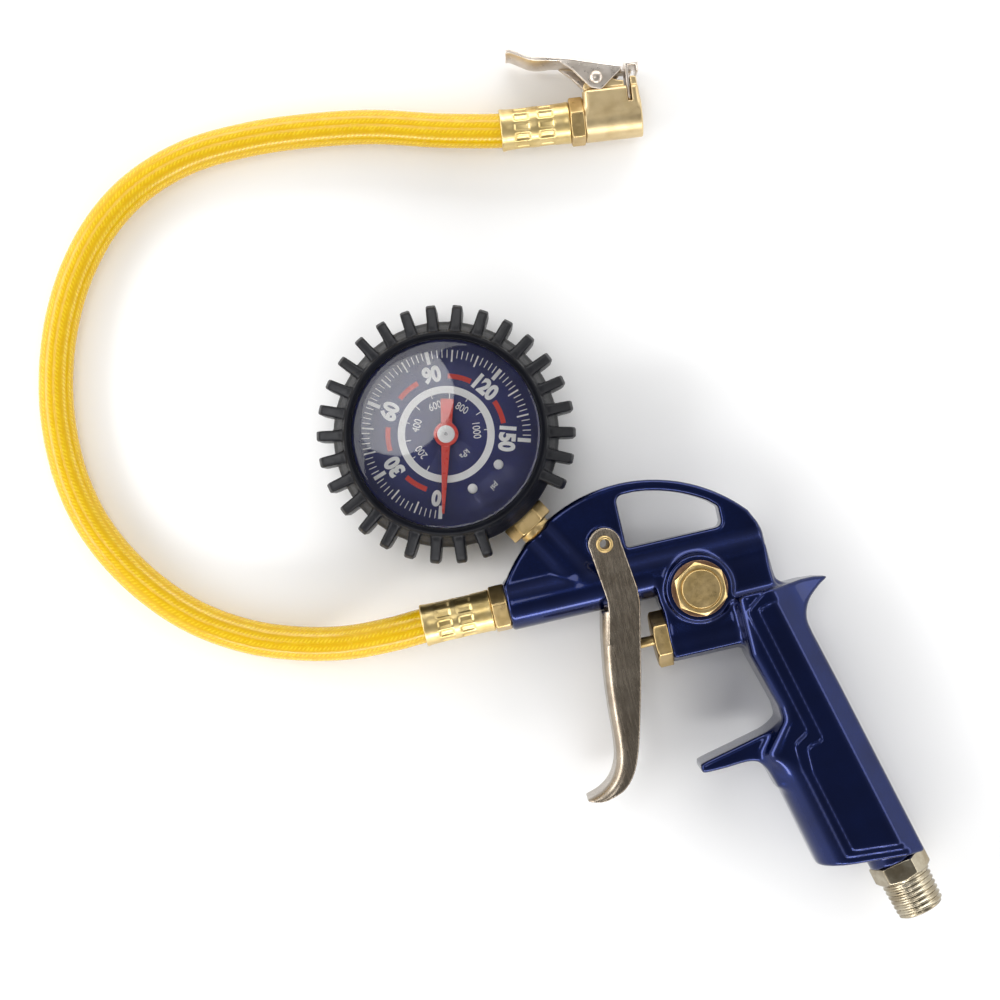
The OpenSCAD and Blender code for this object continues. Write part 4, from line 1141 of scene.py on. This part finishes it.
RIVET_HEAD = [(0, 0.75), (0.5, 0.72), (1.0, 0.58), (1.4, 0.36), (1.66, 0.1), (1.68, 0), (1.18, 0)]
top_half = [(r, LEVER_HALF + z) for r, z in RIVET_HEAD]
rivet = lathe([(r, -z) for r, z in top_half] + top_half[::-1], 40)
rivet_place = CHUCK @ Matrix.Translation(CHUCK_PIVOT)
lever_rivet = add_mesh("lever_rivet", *rivet, rivet_place, "gun", "nickel", nickel, ["chuck_rivet"])


def helix(radius, from_x, to_x, turns, start=0.0, steps=20):
    t = np.linspace(0, 1, round(abs(turns) * steps) + 1)
    angle = start + 2 * pi * turns * t
    return np.stack([from_x + (to_x - from_x) * t, radius * np.cos(angle), radius * np.sin(angle)], axis=1)


def wire(path, radius, sides=10):
    """Round wire with closed ends, turned along the path without twisting."""
    path = np.asarray(path, float)
    tangents = directions(path)
    side = np.cross(tangents[0], (0.3, 0.5, 0.8))
    verts, rings = [tuple(path[0])], [[0]]
    for at, tangent in zip(path, tangents):
        side = side - tangent * (side @ tangent)
        side /= np.linalg.norm(side)
        up = np.cross(tangent, side)
        rings.append(list(range(len(verts), len(verts) + sides)))
        verts += circle(at, side, up, radius, sides)
    rings.append([len(verts)])
    verts.append(tuple(path[-1]))
    return verts, joined_rings(rings)


turns = helix(1.85, -1.5, 1.5, -3, radians(215))
coil = [(CHUCK_PIVOT.x + y, CHUCK_PIVOT.y + z, x) for x, y, z in turns]
spring = wire([(-6.2, 8.2, -1.5), *coil, (-8.4, 14.6, 1.5)], 0.35)
chuck_spring = add_mesh("torsion_spring", *spring, CHUCK, "gun", "steel", bright_steel, ["chuck_spring"])
spring = wire(helix(2.9, 30.1, 41.9, 7), 0.45)
lower_barrel = GUN @ Matrix.Translation((0, LOWER_Y, 0))
add_mesh("valve_coil_spring", *spring, lower_barrel, "gun", "steel", bright_steel, ["valve_spring"])


# ---- CAD nodes that stay as they are ----

# The plug washer's very dark copper is painted shade for the gap between the hexagon and its boss
KEPT = {
    "plug_washer": shaded_copper, "gland_seal": seal_rubber, "valve_stem": brass, "valve_seal": seal_rubber,
    "valve_seat": brass, "inlet_screen": bright_steel, "gauge_case": case_black, "lens_gasket": seal_rubber,
    "dial_plate": dial_navy, "pinion_arbor": brass, "sector_gear": brass, "hairspring": bright_steel,
    "bourdon_tube": shaded_copper, "bourdon_link": bright_steel, "movement_back_plate": brass,
    "movement_front_plate": brass, "movement_pillars": brass, "case_screws": bright_steel,
    "chuck_seal": seal_rubber, "chuck_pin": brass,
}
USUAL_EDGE_MM = 0.1
EDGE_MM = {"plug_washer": 0.15, "valve_stem": 0.25, "inlet_screen": 0.0, "hairspring": 0.0, "gland_seal": 0.0}
SHARP = radians(35)

for node, material in KEPT.items():
    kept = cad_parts[node]
    kept.data.materials.clear()
    kept.data.materials.append(material)
    kept.modifiers.new("weld", "WELD").merge_threshold = 1e-6
    edge = EDGE_MM.get(node, USUAL_EDGE_MM)
    if edge:
        bevel = kept.modifiers.new("edges", "BEVEL")
        bevel.width, bevel.segments, bevel.limit_method = edge * MM, 2, "ANGLE"
        bevel.angle_limit = SHARP
        bevel.harden_normals = True
    kept.data.polygons.foreach_set("use_smooth", np.ones(len(kept.data.polygons), bool))
    kept.data.set_sharp_from_angle(angle=SHARP)


# ---- floor and light ----

floor_look = plain("pale_floor", (0.95, 0.95, 0.95), 0.7, 30, 0.02, 0.985)
floor_mesh = bpy.data.meshes.new("floor")
FLOOR_HALF, FLOOR_Z = 1.6, -0.0003
corners = [(x * FLOOR_HALF, y * FLOOR_HALF, FLOOR_Z) for x, y in ((-1, -1), (1, -1), (1, 1), (-1, 1))]
floor_mesh.from_pydata(corners, [], [(0, 1, 2, 3)])
floor_mesh.materials.append(floor_look)
floor = put("floor", floor_mesh)


def softbox(name, azimuth, elevation, distance, width, height, power, shape="RECTANGLE"):
    """Area light round the object's middle, facing it; azimuth 0 is the picture's top, turning left."""
    light = put(name, bpy.data.lights.new(name, "AREA"))
    light.data.shape, light.data.size, light.data.size_y = shape, width, height
    light.data.energy = power
    a, e = radians(azimuth) + radians(90) + VIEW_TURN, radians(elevation)
    middle_row = Vector((VIEW_CENTRE[0], VIEW_CENTRE[1], 10)) * MM
    out = Vector((cos(a) * cos(e), sin(a) * cos(e), sin(e)))
    light.location = middle_row + out * distance
    light.rotation_euler = out.to_track_quat("Z", "Y").to_euler()


softbox("top_softbox", 0, 26, 1.1, 1.3, 0.34, 5.5)
softbox("bottom_softbox", 180, 25, 1.1, 1.1, 0.16, 5.5)
softbox("left_softbox", 90, 30, 1.1, 1.2, 0.34, 6.5)
softbox("right_softbox", 270, 28, 1.1, 1.2, 0.30, 2.2)
softbox("high_softbox", 50, 76, 1.0, 0.34, 0.34, 0.9, shape="ELLIPSE")

world = bpy.data.worlds.new("studio")
bpy.context.scene.world = world
world.use_nodes = True
sky = world.node_tree
background = sky.nodes["Background"]
direction = sky.nodes.new("ShaderNodeTexCoord")
split = sky.nodes.new("ShaderNodeSeparateXYZ")
shade = sky.nodes.new("ShaderNodeValToRGB")
sky.links.new(direction.outputs["Generated"], split.inputs["Vector"])
sky.links.new(split.outputs["Z"], shade.inputs["Fac"])
sky.links.new(shade.outputs["Color"], background.inputs["Color"])
# Brightness of the surroundings by height, from the horizon at 0 to straight up at 1
SKY = ((0.0, 1.0), (0.42, 0.95), (0.66, 0.38), (1.0, 0.13))
set_stops(shade, [(height, (level,) * 3) for height, level in SKY])
background.inputs["Strength"].default_value = 1.35
bpy.context.scene.view_settings.view_transform = "Standard"
